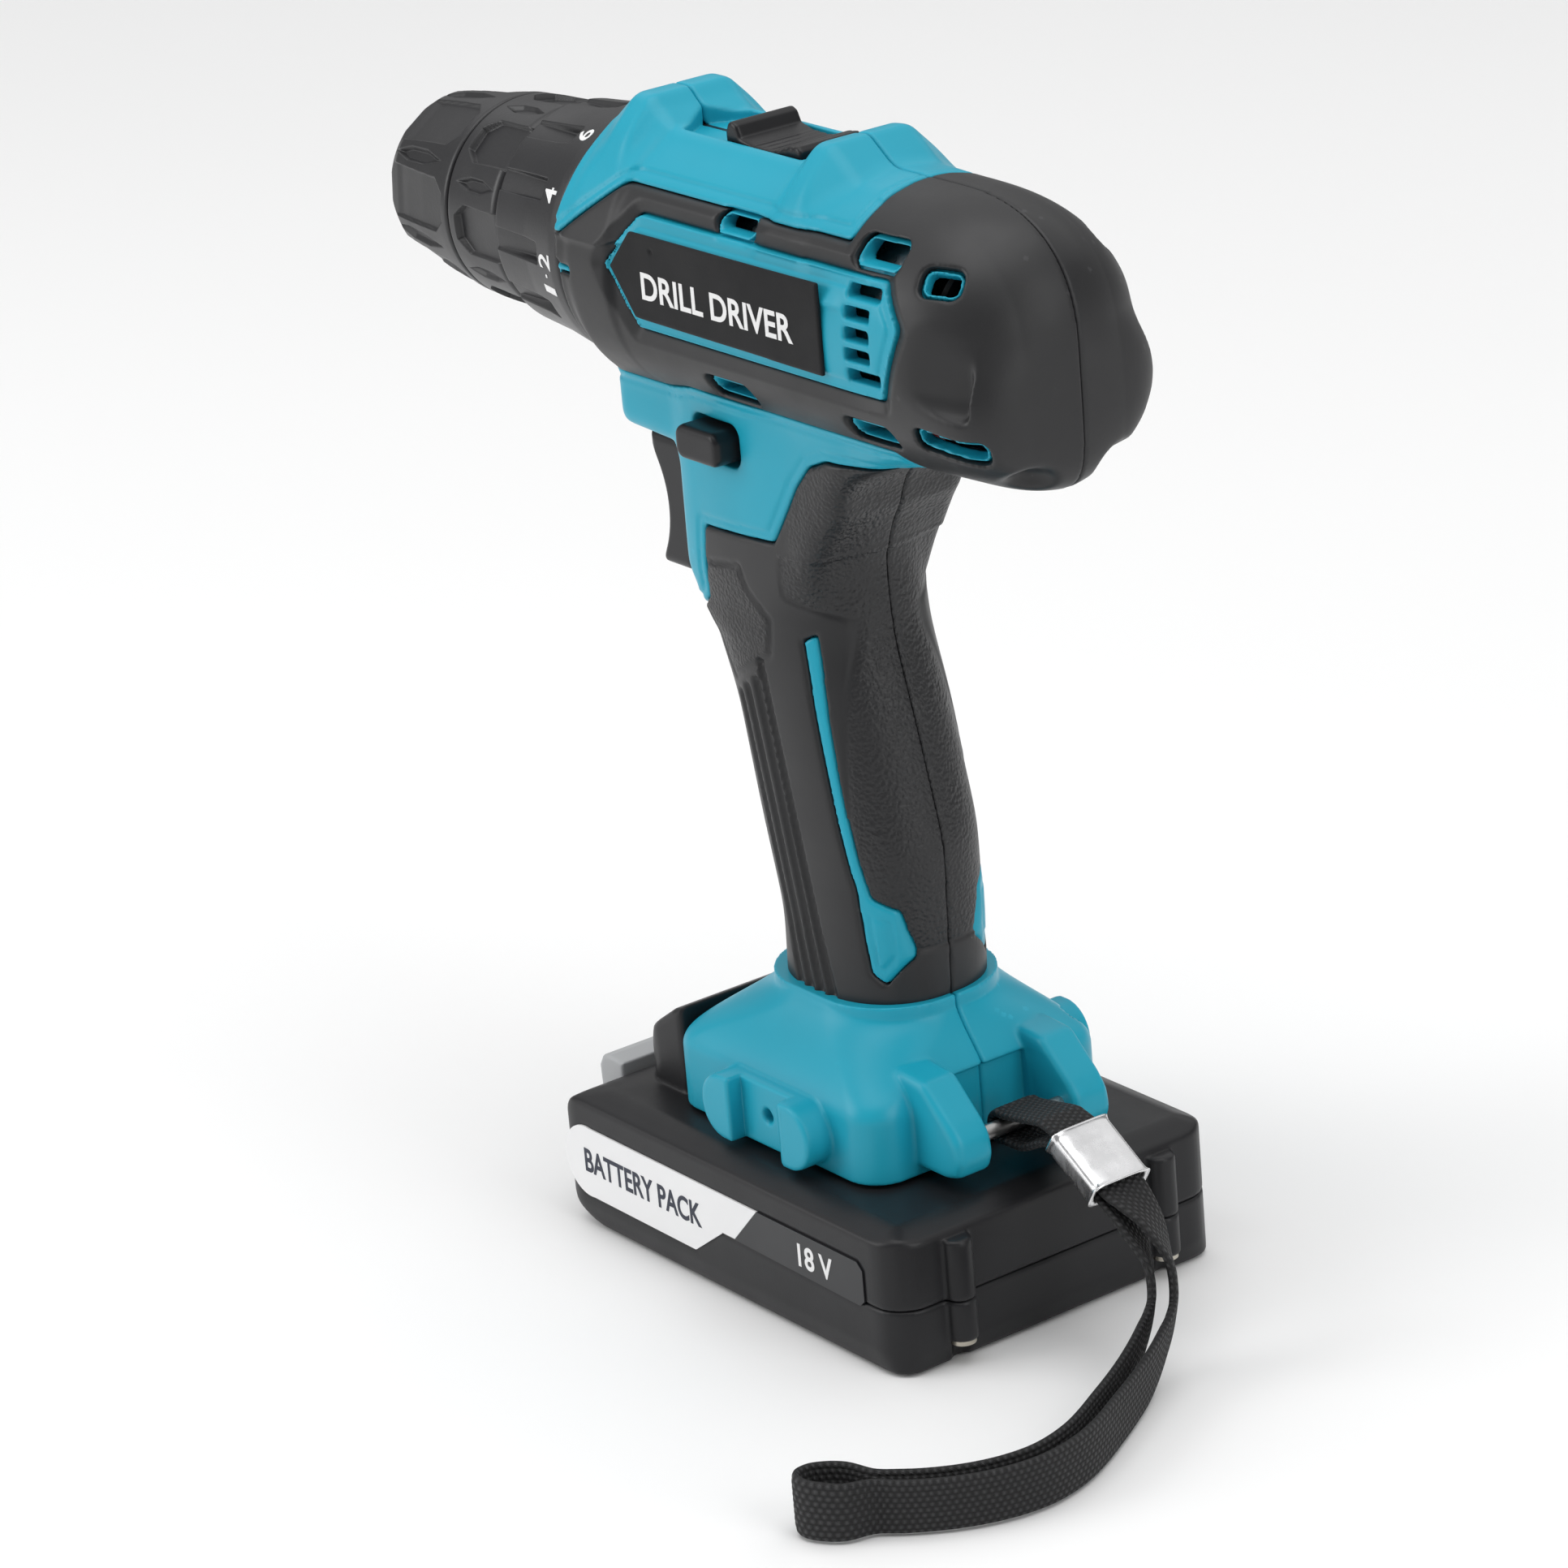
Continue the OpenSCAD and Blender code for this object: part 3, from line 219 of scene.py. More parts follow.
wrap = plastic("cell_shrink_wrap", (0.06, 0.28, 0.12), 0.25, 300, 0.15)
board = plastic("green_circuit_board", (0.01, 0.16, 0.05), 0.3, 700, 0.2)
ink = plastic("white_print", (0.82, 0.82, 0.82), 0.5, 1500, 0.2, 0.04, 0)
ink_dark = plastic("dark_print", (0.035, 0.04, 0.06), 0.5, 1500, 0.2, 0.04, 0)


def rubber_panels():
    """Smooth rubber with pebbled grip panels, placed by position on the object."""
    n = Nodes("charcoal_rubber_with_pebbled_panels", (0.023, 0.0235, 0.026), 0.5)
    col = n.mix(n.ramp(n.noise(25, 4), 0.3, 0.7, 0.0, 1.0), (0.0125, 0.0125, 0.0135), (0.018, 0.018, 0.0195))
    a = n.node("ShaderNodeAttribute", attribute_name="pebble").outputs["Fac"]
    cell = n.voronoi(1500)
    lumps = n.math("ADD", cell, n.math("MULTIPLY", n.noise(1100, 3), 0.7))
    n.bump(n.math("MULTIPLY", lumps, a), 0.7, 0.0004)
    n.bump(n.noise(2400, 2, 0.6), 0.22, 0.00004)
    lighter_edge_mask = n.math("MULTIPLY", n.edge(0.53, 0.62), n.ramp(n.noise(130, 4), 0.4, 0.65, 0.2, 1.0))
    col = n.mix(n.math("MULTIPLY", lighter_edge_mask, 0.4), col, (0.075, 0.075, 0.08))
    specks = n.ramp(n.voronoi(330, "F1"), 0.04, 0.07, 1.0, 0.0)
    dust = n.math("MULTIPLY", specks, n.ramp(n.noise(40, 2), 0.6, 0.7, 0.0, 0.5))
    col = n.mix(dust, col, (0.16, 0.16, 0.17))
    rough = n.ramp(n.noise(55, 4, 0.6), 0.3, 0.7, 0.38, 0.5)
    rough = n.math("ADD", rough, n.math("MULTIPLY", a, -0.03))
    n.p.inputs["Specular IOR Level"].default_value = 0.42
    return n.done(col, rough)


rubber_mat = rubber_panels()


def label_film():
    """Printed film: white field with slanted end and a black rating field."""
    n = Nodes("printed_label_film", (0.86, 0.86, 0.86), 0.34)
    fine = n.noise(1500, 2)
    col = n.mix(n.noise(30, 3), (0.88, 0.88, 0.88), (0.8, 0.8, 0.81))
    sep = n.node("ShaderNodeSeparateXYZ")
    n.link(n.co, sep.inputs[0])
    x, z = sep.outputs["X"], sep.outputs["Z"]
    # the slanted border runs from (11.7, 20.6) down to (4.8, 13.4)
    edge = n.math("SUBTRACT", x, n.math("MULTIPLY", n.math("SUBTRACT", z, 0.0134), 0.958))
    k = n.ramp(edge, 0.0047, 0.0049, 0.0, 1.0)
    low = n.ramp(z, 0.0128, 0.0130, 1.0, 0.0)
    low = n.math("MULTIPLY", low, n.ramp(x, 0.0003, 0.0005, 0.0, 1.0))
    k = n.math("MAXIMUM", k, low)
    col = n.mix(k, col, (0.014, 0.0145, 0.017))
    n.bump(fine, 0.08, 0.00003)
    return n.done(col, n.ramp(n.noise(80, 3), 0.3, 0.7, 0.3, 0.42))


label_mat = label_film()


def webbing():
    """Woven webbing from the strap's own length and width coordinates."""
    n = Nodes("woven_black_webbing", (0.02, 0.02, 0.021), 0.6)
    uv = n.node("ShaderNodeAttribute", attribute_name="weave").outputs["Vector"]
    sep = n.node("ShaderNodeSeparateXYZ")
    n.link(uv, sep.inputs[0])
    u, v = sep.outputs["X"], sep.outputs["Y"]
    # warp cords run along the strap, picked over and under in turn
    col_i = n.math("FLOOR", n.math("DIVIDE", v, 1.0))
    phase = n.math("MULTIPLY", n.math("MODULO", col_i, 2.0), 0.5)
    wu = n.math("SINE", n.math("MULTIPLY", n.math("ADD", n.math("DIVIDE", u, 1.35), phase), 6.28318))
    wv = n.math("ABSOLUTE", n.math("SINE", n.math("MULTIPLY", v, 3.14159)))
    h = n.math("MULTIPLY", n.math("ADD", n.math("MULTIPLY", wu, 0.5), 0.5), wv)
    strand = n.math("SINE", n.math("MULTIPLY", n.math("ADD", n.math("MULTIPLY", v, 5.0), u), 6.28318))
    h2 = n.math("ADD", h, n.math("MULTIPLY", strand, 0.08))
    n.bump(h2, 1.0, 0.00045)
    n.bump(n.noise(3000, 3), 0.3, 0.00005)
    # Painted shade: the weave's valleys are darker and the raised cords lighter, following the bump height.
    col = n.mix(n.ramp(h, 0.1, 0.9, 0.0, 1.0), (0.006, 0.006, 0.0065), (0.032, 0.032, 0.034))
    return n.done(col, n.ramp(h, 0.0, 1.0, 0.75, 0.45))


web_mat = webbing()


def paint(name, mat):
    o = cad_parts[name]
    if not o.data.materials:
        o.data.materials.append(mat)
    for i in range(len(o.data.materials)):
        o.data.materials[i] = mat


# ------------------------------------------------------------------ mesh tools
def add_mesh(name, verts, faces, mat, smooth=True, body="drill", stands_for=()):
    """verts in mm. faces: (n, 4) or (n, 3) array, or a list of lists."""
    me = bpy.data.meshes.new(name)
    v = np.asarray(verts, np.float32) * MM
    if isinstance(faces, np.ndarray):
        n, k = faces.shape
        me.vertices.add(len(v))
        me.vertices.foreach_set("co", v.ravel())
        me.loops.add(n * k)
        me.loops.foreach_set("vertex_index", faces.astype(np.int32).ravel())
        me.polygons.add(n)
        me.polygons.foreach_set("loop_start", np.arange(0, n * k, k, dtype=np.int32))
        me.update(calc_edges=True)
    else:
        me.from_pydata(v.tolist(), [], faces)
    me.validate()
    me.materials.append(mat)
    me.polygons.foreach_set("use_smooth", [smooth] * len(me.polygons))
    me.update()
    o = bpy.data.objects.new(name, me)
    scene.collection.objects.link(o)
    if stands_for:
        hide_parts(*stands_for)
    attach(o, body)
    return o


def nets(d, lo, h):
    """Surface nets of a distance grid, negative inside."""
    s = d < 0
    nx, ny, nz = d.shape
    c = np.zeros((nx - 1, ny - 1, nz - 1), np.uint8)
    for i in (0, 1):
        for j in (0, 1):
            for k in (0, 1):
                c += s[i:nx - 1 + i, j:ny - 1 + j, k:nz - 1 + k]
    act = (c > 0) & (c < 8)
    idx = np.argwhere(act)
    look = np.full(act.shape, -1, np.int32)
    look[act] = np.arange(len(idx), dtype=np.int32)
    acc = np.zeros((len(idx), 3), np.float32)
    cnt = np.zeros(len(idx), np.float32)
    for ax in range(3):
        o = [x for x in range(3) if x != ax]
        for a in (0, 1):
            for b in (0, 1):
                p0 = [0, 0, 0]
                p0[o[0]], p0[o[1]] = a, b
                p1 = list(p0)
                p1[ax] = 1
                v0 = d[idx[:, 0] + p0[0], idx[:, 1] + p0[1], idx[:, 2] + p0[2]]
                v1 = d[idx[:, 0] + p1[0], idx[:, 1] + p1[1], idx[:, 2] + p1[2]]
                m = (v0 < 0) != (v1 < 0)
                t = v0[m] / (v0[m] - v1[m])
                q = np.tile(np.array(p0, np.float32), (int(m.sum()), 1))
                q[:, ax] = t
                acc[m] += q
                cnt[m] += 1
    verts = (idx + acc / cnt[:, None]) * h + np.asarray(lo, np.float32)
    quads = []
    for ax in range(3):
        a, b = (ax + 1) % 3, (ax + 2) % 3
        s0 = [slice(None)] * 3
        s1 = [slice(None)] * 3
        s0[ax], s1[ax] = slice(0, -1), slice(1, None)
        for q in (a, b):
            s0[q] = slice(1, -1)
            s1[q] = slice(1, -1)
        e0, e1 = s[tuple(s0)], s[tuple(s1)]
        at = np.argwhere(e0 != e1)
        inside = e0[at[:, 0], at[:, 1], at[:, 2]]
        at[:, a] += 1
        at[:, b] += 1
        ring = []
        for da, db in ((-1, -1), (0, -1), (0, 0), (-1, 0)):
            w = at.copy()
            w[:, a] += da
            w[:, b] += db
            ring.append(look[w[:, 0], w[:, 1], w[:, 2]])
        r = np.stack(ring, 1)
        r[~inside] = r[~inside][:, ::-1]
        quads.append(r)
    return verts, np.concatenate(quads)


def axes(lo, hi, h):
    out = []
    for i in range(3):
        g = np.arange(lo[i], hi[i] + h, h, dtype=np.float32)
        shape = [1, 1, 1]
        shape[i] = len(g)
        out.append(g.reshape(shape))
    return out


def smin(a, b, k):
    h = np.clip(0.5 + 0.5 * (b - a) / k, 0, 1)
    return b * (1 - h) + a * h - k * h * (1 - h)


def smax(a, b, k):
    return -smin(-a, -b, k)


def step(x, a, b):
    t = np.clip((x - a) / (b - a), 0, 1)
    return t * t * (3 - 2 * t)


def poly(p, a, b):
    """Signed distance to a closed outline, negative inside."""
    p = np.array(p, np.float32)
    shape = np.broadcast(a, b).shape
    d = np.full(shape, 1e9, np.float32)
    s = np.ones(shape, np.float32)
    for i in range(len(p)):
        q = p[i - 1]
        e = q - p[i]
        wa, wb = a - p[i][0], b - p[i][1]
        t = np.clip((wa * e[0] + wb * e[1]) / (e[0] ** 2 + e[1] ** 2), 0, 1)
        d = np.minimum(d, (wa - e[0] * t) ** 2 + (wb - e[1] * t) ** 2)
        c1, c2, c3 = b >= p[i][1], b < q[1], e[0] * wb > e[1] * wa
        s = np.where((c1 & c2 & c3) | (~c1 & ~c2 & ~c3), -s, s)
    return (s * np.sqrt(d)).astype(np.float32)


def soft(d, sigma, h):
    """Blurs a distance field on its two long axes, which rounds its corners."""
    r = int(3 * sigma / h) + 1
    k = np.exp(-0.5 * (np.arange(-r, r + 1) * h / sigma) ** 2)
    k = (k / k.sum()).astype(np.float32)
    for ax in range(3):
        if d.shape[ax] == 1:
            continue
        pad = [(0, 0)] * 3
        pad[ax] = (r, r)
        e = np.pad(d, pad, mode="edge")
        out = np.zeros_like(d)
        for i in range(2 * r + 1):
            sl = [slice(None)] * 3
            sl[ax] = slice(i, i + d.shape[ax])
            out += k[i] * e[tuple(sl)]
        d = out
    return d


def box(x, y, z, a, b, r=0.0):
    """Rounded box from corner a to corner b."""
    q = []
    for v, lo, hi in zip((x, y, z), a, b):
        q.append(np.abs(v - (lo + hi) / 2) - (hi - lo) / 2 + r)
    out = np.sqrt(np.maximum(q[0], 0) ** 2 + np.maximum(q[1], 0) ** 2 + np.maximum(q[2], 0) ** 2)
    return out + np.minimum(np.maximum(np.maximum(q[0], q[1]), q[2]), 0) - r


def rect2(a, b, ha, hb, r):
    """Rounded rectangle of half sizes ha and hb about the origin."""
    qa, qb = np.abs(a) - ha + r, np.abs(b) - hb + r
    return np.sqrt(np.maximum(qa, 0) ** 2 + np.maximum(qb, 0) ** 2) + np.minimum(np.maximum(qa, qb), 0) - r


def slot2(a, b, ca, cb, w, h, r=None):
    """Rounded rectangle w by h about (ca, cb), with round ends unless r is given."""
    return rect2(a - ca, b - cb, w / 2, h / 2, h / 2 if r is None else r)


def past(side, y0, far=30):
    """Zero further out than y0 and far outside elsewhere, to add to an outline drawn in side view."""
    return np.where(side > y0, 0, far).astype(np.float32)


def side_name(s):
    return "left" if s < 0 else "right"


# ------------------------------------------------------------------ body form
# height, middle and half depth of the grip where it changes shape: foot, waist, palm swell, index groove, web
GRIP = np.array([[50, 6.5, 19], [68, 7.5, 19.2], [85, 5.5, 22], [108, 0.5, 21.2], [122, -4.5, 22.2],
                 [136, -5.2, 22], [164, -3, 26]])
GRIP_HALF_WIDTH, BROW_HALF_WIDTH, WEB_HALF_WIDTH = 16.2, 14.6, 15.2
RUBBER_SKIN = 2.0
WALL = 3.8  # from the outer surface to the hollow inside
HOLLOW_FRONT, HOLLOW_FLOOR = -34, 158
BOSS_X, BOSS_Z = 7.4, 35.6
ACCESSORY_Z, ACCESSORY_R = 35.8, 1.3
# x, z and depth across the drill of each screw well on the right side
SCREW_WELLS = ((-33, 160.6, 11), (33, 163.6, 8), (11.6, 146, 11.4), (6, 100, 13.1), (9.5, 64, 13.1),
               (-15, 42, 17.6), (27, 42, 17.6))
SCREW_WELL_R = 3.5
HUMP = [(-60, 200), (-42.6, 209.6), (-35.2, 215.4), (-31, 215.4), (-28.4, 213), (-24.6, 210.6), (13.4, 210.5),
        (17.8, 214.6), (21.4, 214.9), (29.6, 208.8), (38, 208), (60, 200)]
BAND = [(-41.8, 191.5), (-26.4, 202.3), (38, 202.3), (38, 166.8), (-14, 166.8), (-24, 165), (-41.8, 165)]
CAP = [(37.5, 225), (90, 225), (90, 140), (50.5, 140), (47, 159.8), (45, 166.8), (37.5, 166.8)]
HOLD = [(-60, 50), (-60, 121), (-24, 121), (-17.4, 126), (-15.4, 140.3), (5.4, 141.3), (12.9, 153.1), (17, 157.6),
        (22, 159.6), (47, 159.8), (90, 150), (90, 50)]
WINDOW = [(-28.4, 188.6), (-20.4, 198.2), (49.6, 198.2), (54.4, 191), (49.6, 177.8), (-20.4, 177.8)]
STRIPE_TOP, STRIPE_FOOT = 124, 76
TAB = [(18, 79), (20.5, 76.5), (24, 74), (25, 65), (21.5, 59.5), (19.5, 62)]
BADGE = [(-26.4, 188.6), (-19.4, 196.2), (36.4, 196.2), (36.4, 179.8), (-19.4, 179.8)]
VENTS = [(7, 200.2, 10, 2.8), (45.8, 201.6, 10.5, 3.9), (3, 170.3, 12, 3.1), (43, 170.6, 11.5, 3.2)]


def stripe_form(x, z):
    """Teal stripe of the grip: a bowed, tapering band that ends in a pointed tab."""
    t = np.clip((STRIPE_TOP - z) / (STRIPE_TOP - STRIPE_FOOT), 0, 1)
    band = np.abs(x - 9.6 - 7.5 * t - 2.5 * t * t) - 1.4 + 0.4 * t
    ends = np.maximum(z - STRIPE_TOP + 0.5 * (10 - x), STRIPE_FOOT - z)
    return np.minimum(np.maximum(band, ends), poly(TAB, x, z)).astype(np.float32)


def lug_outline():
    return [(30, 30.2), (43, 30.2), (46.6, 31.2), (47.8, 34.4), (47.2, 38.2), (45, 41), (38, 47.4), (30, 48)]


def outer(x, y, z, h):
    """The closed outer form of the drill body without its foot details."""
    ay = np.abs(y)
    rho = np.sqrt(y * y + (z - 184.8) ** 2)
    q = np.clip((x - 45) / 30.1, 1e-4, None)
    pw = 2.55 + 3.2 * step(z, 190, 166)
    rr = 25.25
    f = (q ** pw + (rho / rr) ** pw) ** (1 / pw)
    big = np.sqrt(np.clip(x - 45, 0, None) ** 2 + rho ** 2)
    d = big * (1 - 1 / f)
    d = smax(d, ay - 24.9, 4.0)
    # slight keel along the seam of the end cap
    d = d + 0.09 * np.minimum(ay, 10) * step(x, 40, 66)
    # collar
    rc = np.sqrt(y * y + (z - 185.9) ** 2)
    collar = smax(rc - 24.6, np.abs(x + 35) - 7.7, 0.8)
    d = smax(d, -38.0 - x, 2.0)
    d = smin(d, collar, 2.5)
    # spine with its two humps, sides falling away at a slope
    top = np.interp(x, [p[0] for p in HUMP], [p[1] for p in HUMP]).astype(np.float32)
    hx = soft(top, 0.5, h)
    cap_z = smax(z - hx, ((ay - 8.6) + (z - hx)) * 0.7071, 1.2)
    cap_z = smax(cap_z, ((ay - 15) * 0.87 + (z - 209) * 0.5), 1.2)
    front = (-42.7 - x)
    spine = smax(smax(cap_z, front, 1.0), x - 40, 1.5)
    spine = np.maximum(spine, 192 - z)
    d = smin(d, spine, 1.6)
    # trigger housing under the barrel
    brow2 = soft(poly([(-42.6, 178), (-42.6, 155), (-41.4, 153.4), (-26.4, 152.6), (-24.8, 150), (-25.2, 131),
                       (-22.8, 124.3), (-18, 121), (-4, 121), (22, 148), (30, 178)], x, z), 0.9, h)
    brow = smax(brow2, ay - BROW_HALF_WIDTH, 4.0)
    d = smin(d, brow, 3.0)
    web2 = soft(poly([(-22, 130), (12, 130), (15.6, 140), (18.5, 148), (24, 155), (38, 161.5), (50, 172), (50, 178),
                      (-22, 178)], x, z), 2.0, h)
    web = smax(web2, ay - WEB_HALF_WIDTH, 5.0)
    d = smin(d, web, 4.0)
    # grip
    cx = np.interp(z, GRIP[:, 0], GRIP[:, 1]).astype(np.float32)
    gx = np.interp(z, GRIP[:, 0], GRIP[:, 2]).astype(np.float32)
    cx, gx = (soft(v, 3.0, h) for v in (cx, gx))
    a = np.abs(x - cx) / gx
    b = ay / GRIP_HALF_WIDTH
    f = (a ** 2.35 + b ** 2.35) ** (1 / 2.35) + 1e-6
    big = np.sqrt((x - cx) ** 2 + y * y)
    grip = big * (1 - 1 / f)
    grip = np.maximum(grip, z - 165)
    grip = np.maximum(grip, 50 - z)
    return smin(d, grip, 3.0)


def foot_form(x, y, z, h):
    fade = step(z, 40, 56)
    L, W, C = 30.5 - 10.1 * fade, 27.5 - 9.7 * fade, 4.5 + 1.8 * fade
    f = rect2(x - C, y, L, W, np.minimum(7 + step(z, 42, 54) * 10, W - 0.6))
    f = smax(f, z - 55.2, 0.8)
    return np.maximum(f, 28.4 - z)


def local(x, y, z, c, n, u):
    """Coordinates along u, n x u and n about c."""
    n = np.array(n, np.float32) / np.linalg.norm(n)
    u = np.array(u, np.float32)
    u = u - n * np.dot(u, n)
    u = u / np.linalg.norm(u)
    v = np.cross(n, u)
    dx, dy, dz = x - c[0], y - c[1], z - c[2]
    return (dx * u[0] + dy * u[1] + dz * u[2], dx * v[0] + dy * v[1] + dz * v[2],
            dx * n[0] + dy * n[1] + dz * n[2])


def make_body(s, h):
    """Meshes of housing and rubber on side s."""
    lo = (-44.2, -35 if s < 0 else -1.2, 27.4)
    hi = (76.6, 1.2 if s < 0 else 35, 217)
    x, y, z = axes(lo, hi, h)
    ay = np.abs(y)
    d = outer(x, y, z, h)
    body = d
    side = y * s
    # side slots: signed distance in side view
    v2 = None
    for cx, cz, w, t in VENTS:
        e = slot2(x, z, cx, cz, w, t, min(t / 2, 1.3))
        v2 = e if v2 is None else np.minimum(v2, e)
    v2 = v2 + past(side, 8, 40)
    ua, va, na = local(x, y, z, (60.6, s * 17.2, 199.4), (0.3, s * 0.8, 0.62), (0.9, -s * 0.35, 0))
    w1 = np.maximum(slot2(ua, va, 0, 0, 6.6, 4.2, 1.4), np.abs(na) - 7)
    ub, vb, nb = local(x, y, z, (61.5, s * 15.5, 173.0), (0.42, s * 0.85, -0.3), (0.85, -s * 0.42, -0.04))
    w2 = np.maximum(slot2(ub, vb, 0, 0, 13.4, 3.9, 1.3), np.abs(nb) - 7)
    vent = np.minimum(np.minimum(v2, w1), w2)
    # thumb hollow
    plane = (25.2 - 0.5 * (x - 53) - side) * 0.9
    rise = z - 187 + 0.12 * (x - 62)
    hollow = smax(smax(smax(plane, rise - 8.6, 0.9), -rise - 9.4, 4.0), x - 69, 1.6)
    body = smax(body, -hollow, 0.9)
    e2 = np.sqrt(((x - 72.5) / 6) ** 2 + ((side - 9.5) / 4.6) ** 2 + ((z - 163.6) / 3.6) ** 2)
    body = smax(body, -(e2 - 1) * 4, 1.6)
    # rubber region in side view
    reg = soft(np.minimum(np.minimum(poly(BAND, x, z), poly(CAP, x, z)), poly(HOLD, x, z)), 0.5, h)
    win = soft(poly(WINDOW, x, z), 0.5, h)
    stripe = soft(stripe_form(x, z), 0.25, h)
    win = win + past(side, 12)
    stripe = stripe + past(side, 6)
    index = slot2(x, z, -41.5, 189.4, 9.0, 5.2, 0.6) + past(side, 12)
    reg = np.minimum(reg, index)
    notch = slot2(x, z, -40.6, 185.6, 5.0, 1.3, 0.3) + past(side, 12)
    isl = np.minimum(np.minimum(win, stripe), vent - 0.5)
    isl = np.minimum(isl, notch)
    reg = np.maximum(reg, -isl)
    # band stands proud, its inner edge bevelled towards the window
    near_win = np.clip((win - 2.6) * -0.55, 0, 1.1)
    surf_r = body + np.where(side > 12, near_win, 0).astype(np.float32)
    # grooves in the rubber: flutes, panel outlines
    flutes = None
    for i in range(4):
        a = (-10.4 + 3.3 * i, 109 + 2.1 * i)
        b = (1.6 + 3.2 * i, 56.5)
        if i == 3:
            a = (-2.0, 117)
        t = np.clip(((x - a[0]) * (b[0] - a[0]) + (z - a[1]) * (b[1] - a[1]))
                    / ((b[0] - a[0]) ** 2 + (b[1] - a[1]) ** 2), 0, 1)
        e = np.sqrt((x - a[0] - t * (b[0] - a[0])) ** 2 + (z - a[1] - t * (b[1] - a[1])) ** 2)
        flutes = e if flutes is None else np.minimum(flutes, e)
    fl = np.clip(1.0 - flutes / 1.25, 0, 1)
    surf_r = surf_r + 1.0 * fl ** 0.6 * np.where(side > 5, 1, 0)
    panel = soft(poly([(-15.4, 133.9), (-5.2, 135.4), (-3.3, 131.2), (2, 126.3), (1.1, 119.1), (-11.6, 111.9),
                       (-19.5, 124.8)], x, z), 0.5, h)
    line = np.clip(1 - np.abs(panel) / 0.7, 0, 1)
    surf_r = surf_r + 0.35 * line * np.where(side > 4, 1, 0)
    big = soft(poly([(6.5, 140), (22, 141), (40, 128), (40, 64), (24, 66), (19, 78), (17.5, 90), (16, 108),
                     (15.4, 127), (6, 131)], x, z), 0.8, h)
    edge = 0.3 * step(big, 0.35, -0.35) - 0.3
    surf_r = surf_r + (0.3 + edge) * np.where(z < 139, 1, 0)
    # seam between rubber and plastic
    rub = smax(surf_r, reg + 0.05, 0.75)
    rub = np.maximum(rub, -(body + RUBBER_SKIN))
    lip = np.clip(1 - np.abs(reg - 2.0) / 0.55, 0, 1) * 0.28 * np.where(stripe > 4, 1, 0)
    step_in = 0.35 * step(reg, 2.2, 1.6) * np.where(side > 10, 1, 0)
    win_in = 0.75 * step(win, 0.0, -0.8)
    arrow = poly([(20.6, 73.4), (23, 71.6), (23.6, 66), (21.7, 62.6), (20.9, 63.6)], x, z)
    mark = 0.28 * np.clip(1 - np.abs(arrow) / 0.45, 0, 1) * np.where(side > 4, 1, 0)
    surf_t = body + lip + step_in * 0.6 + win_in + mark
    vin = 0.7 * step(vent, 1.2, 0.6)
    plast = np.minimum(smax(surf_t + vin, 0.18 - reg, 0.6), body + RUBBER_SKIN + 0.25)
    # foot with its bosses and lugs
    foot = foot_form(x, y, z, h)
    ring = np.maximum(rect2(x - 6.3, y, 20.9, 17.6, 15.5), np.abs(z - 54.6) - 1.4)
    foot = np.minimum(foot, ring)
    boss = smax(slot2(x, z, BOSS_X, BOSS_Z, 32.3, 12.6), np.abs(side - 26) - 7.2, 0.8)
    chan = smax(np.maximum(np.abs(x - BOSS_X) - 7.6, 0), 29.4 - side, 0.5)
    boss = smax(boss, -chan, 0.3)
    foot = smin(foot, boss, 0.35)
    lug2 = soft(poly(lug_outline(), x, z), 0.6, h)
    lug = smax(lug2, np.abs(side - 13.6) - 4.1, 1.8)
    foot = smin(foot, lug, 0.8)
    foot = smax(foot, -(np.sqrt((x - BOSS_X) ** 2 + (z - ACCESSORY_Z) ** 2) - ACCESSORY_R), 0.3)
    rec = np.maximum(np.maximum(np.abs(side) - 9.4, 32.6 - x), z - 44)
    foot = smax(foot, -rec, 0.6)
    plast = np.minimum(plast, foot)
    rub = np.maximum(rub, 55.4 - z)
    # hollow inside
    cav = np.maximum(smax(body + WALL, HOLLOW_FRONT - x, 0.5), HOLLOW_FLOOR - z)
    plast = np.maximum(plast, -cav)
    bore = np.sqrt(y * y + (z - 186) ** 2) - 21.0
    plast = np.maximum(plast, -np.maximum(bore, x + 32))
    # through openings
    hole = np.maximum(vent + 0.25, 8 - side)
    plast = smax(plast, -hole, 0.35)
    rub = smax(rub, -(vent - 0.5), 0.7)
    for k in range(5):
        w = 8.4 if k in (0, 4) else 6.6
        g = slot2(x, z, 44.4 + (0.5 if k in (0, 4) else -0.6), 181.2 + k * 3.6, w, 2.3, 0.5)
        plast = smax(plast, -np.maximum(g, 12 - side), 0.35)
    badge_bed = soft(poly(BADGE, x, z), 0.3, h)
    plast = smax(plast, -np.maximum(badge_bed, 23.35 - side), 0.25)
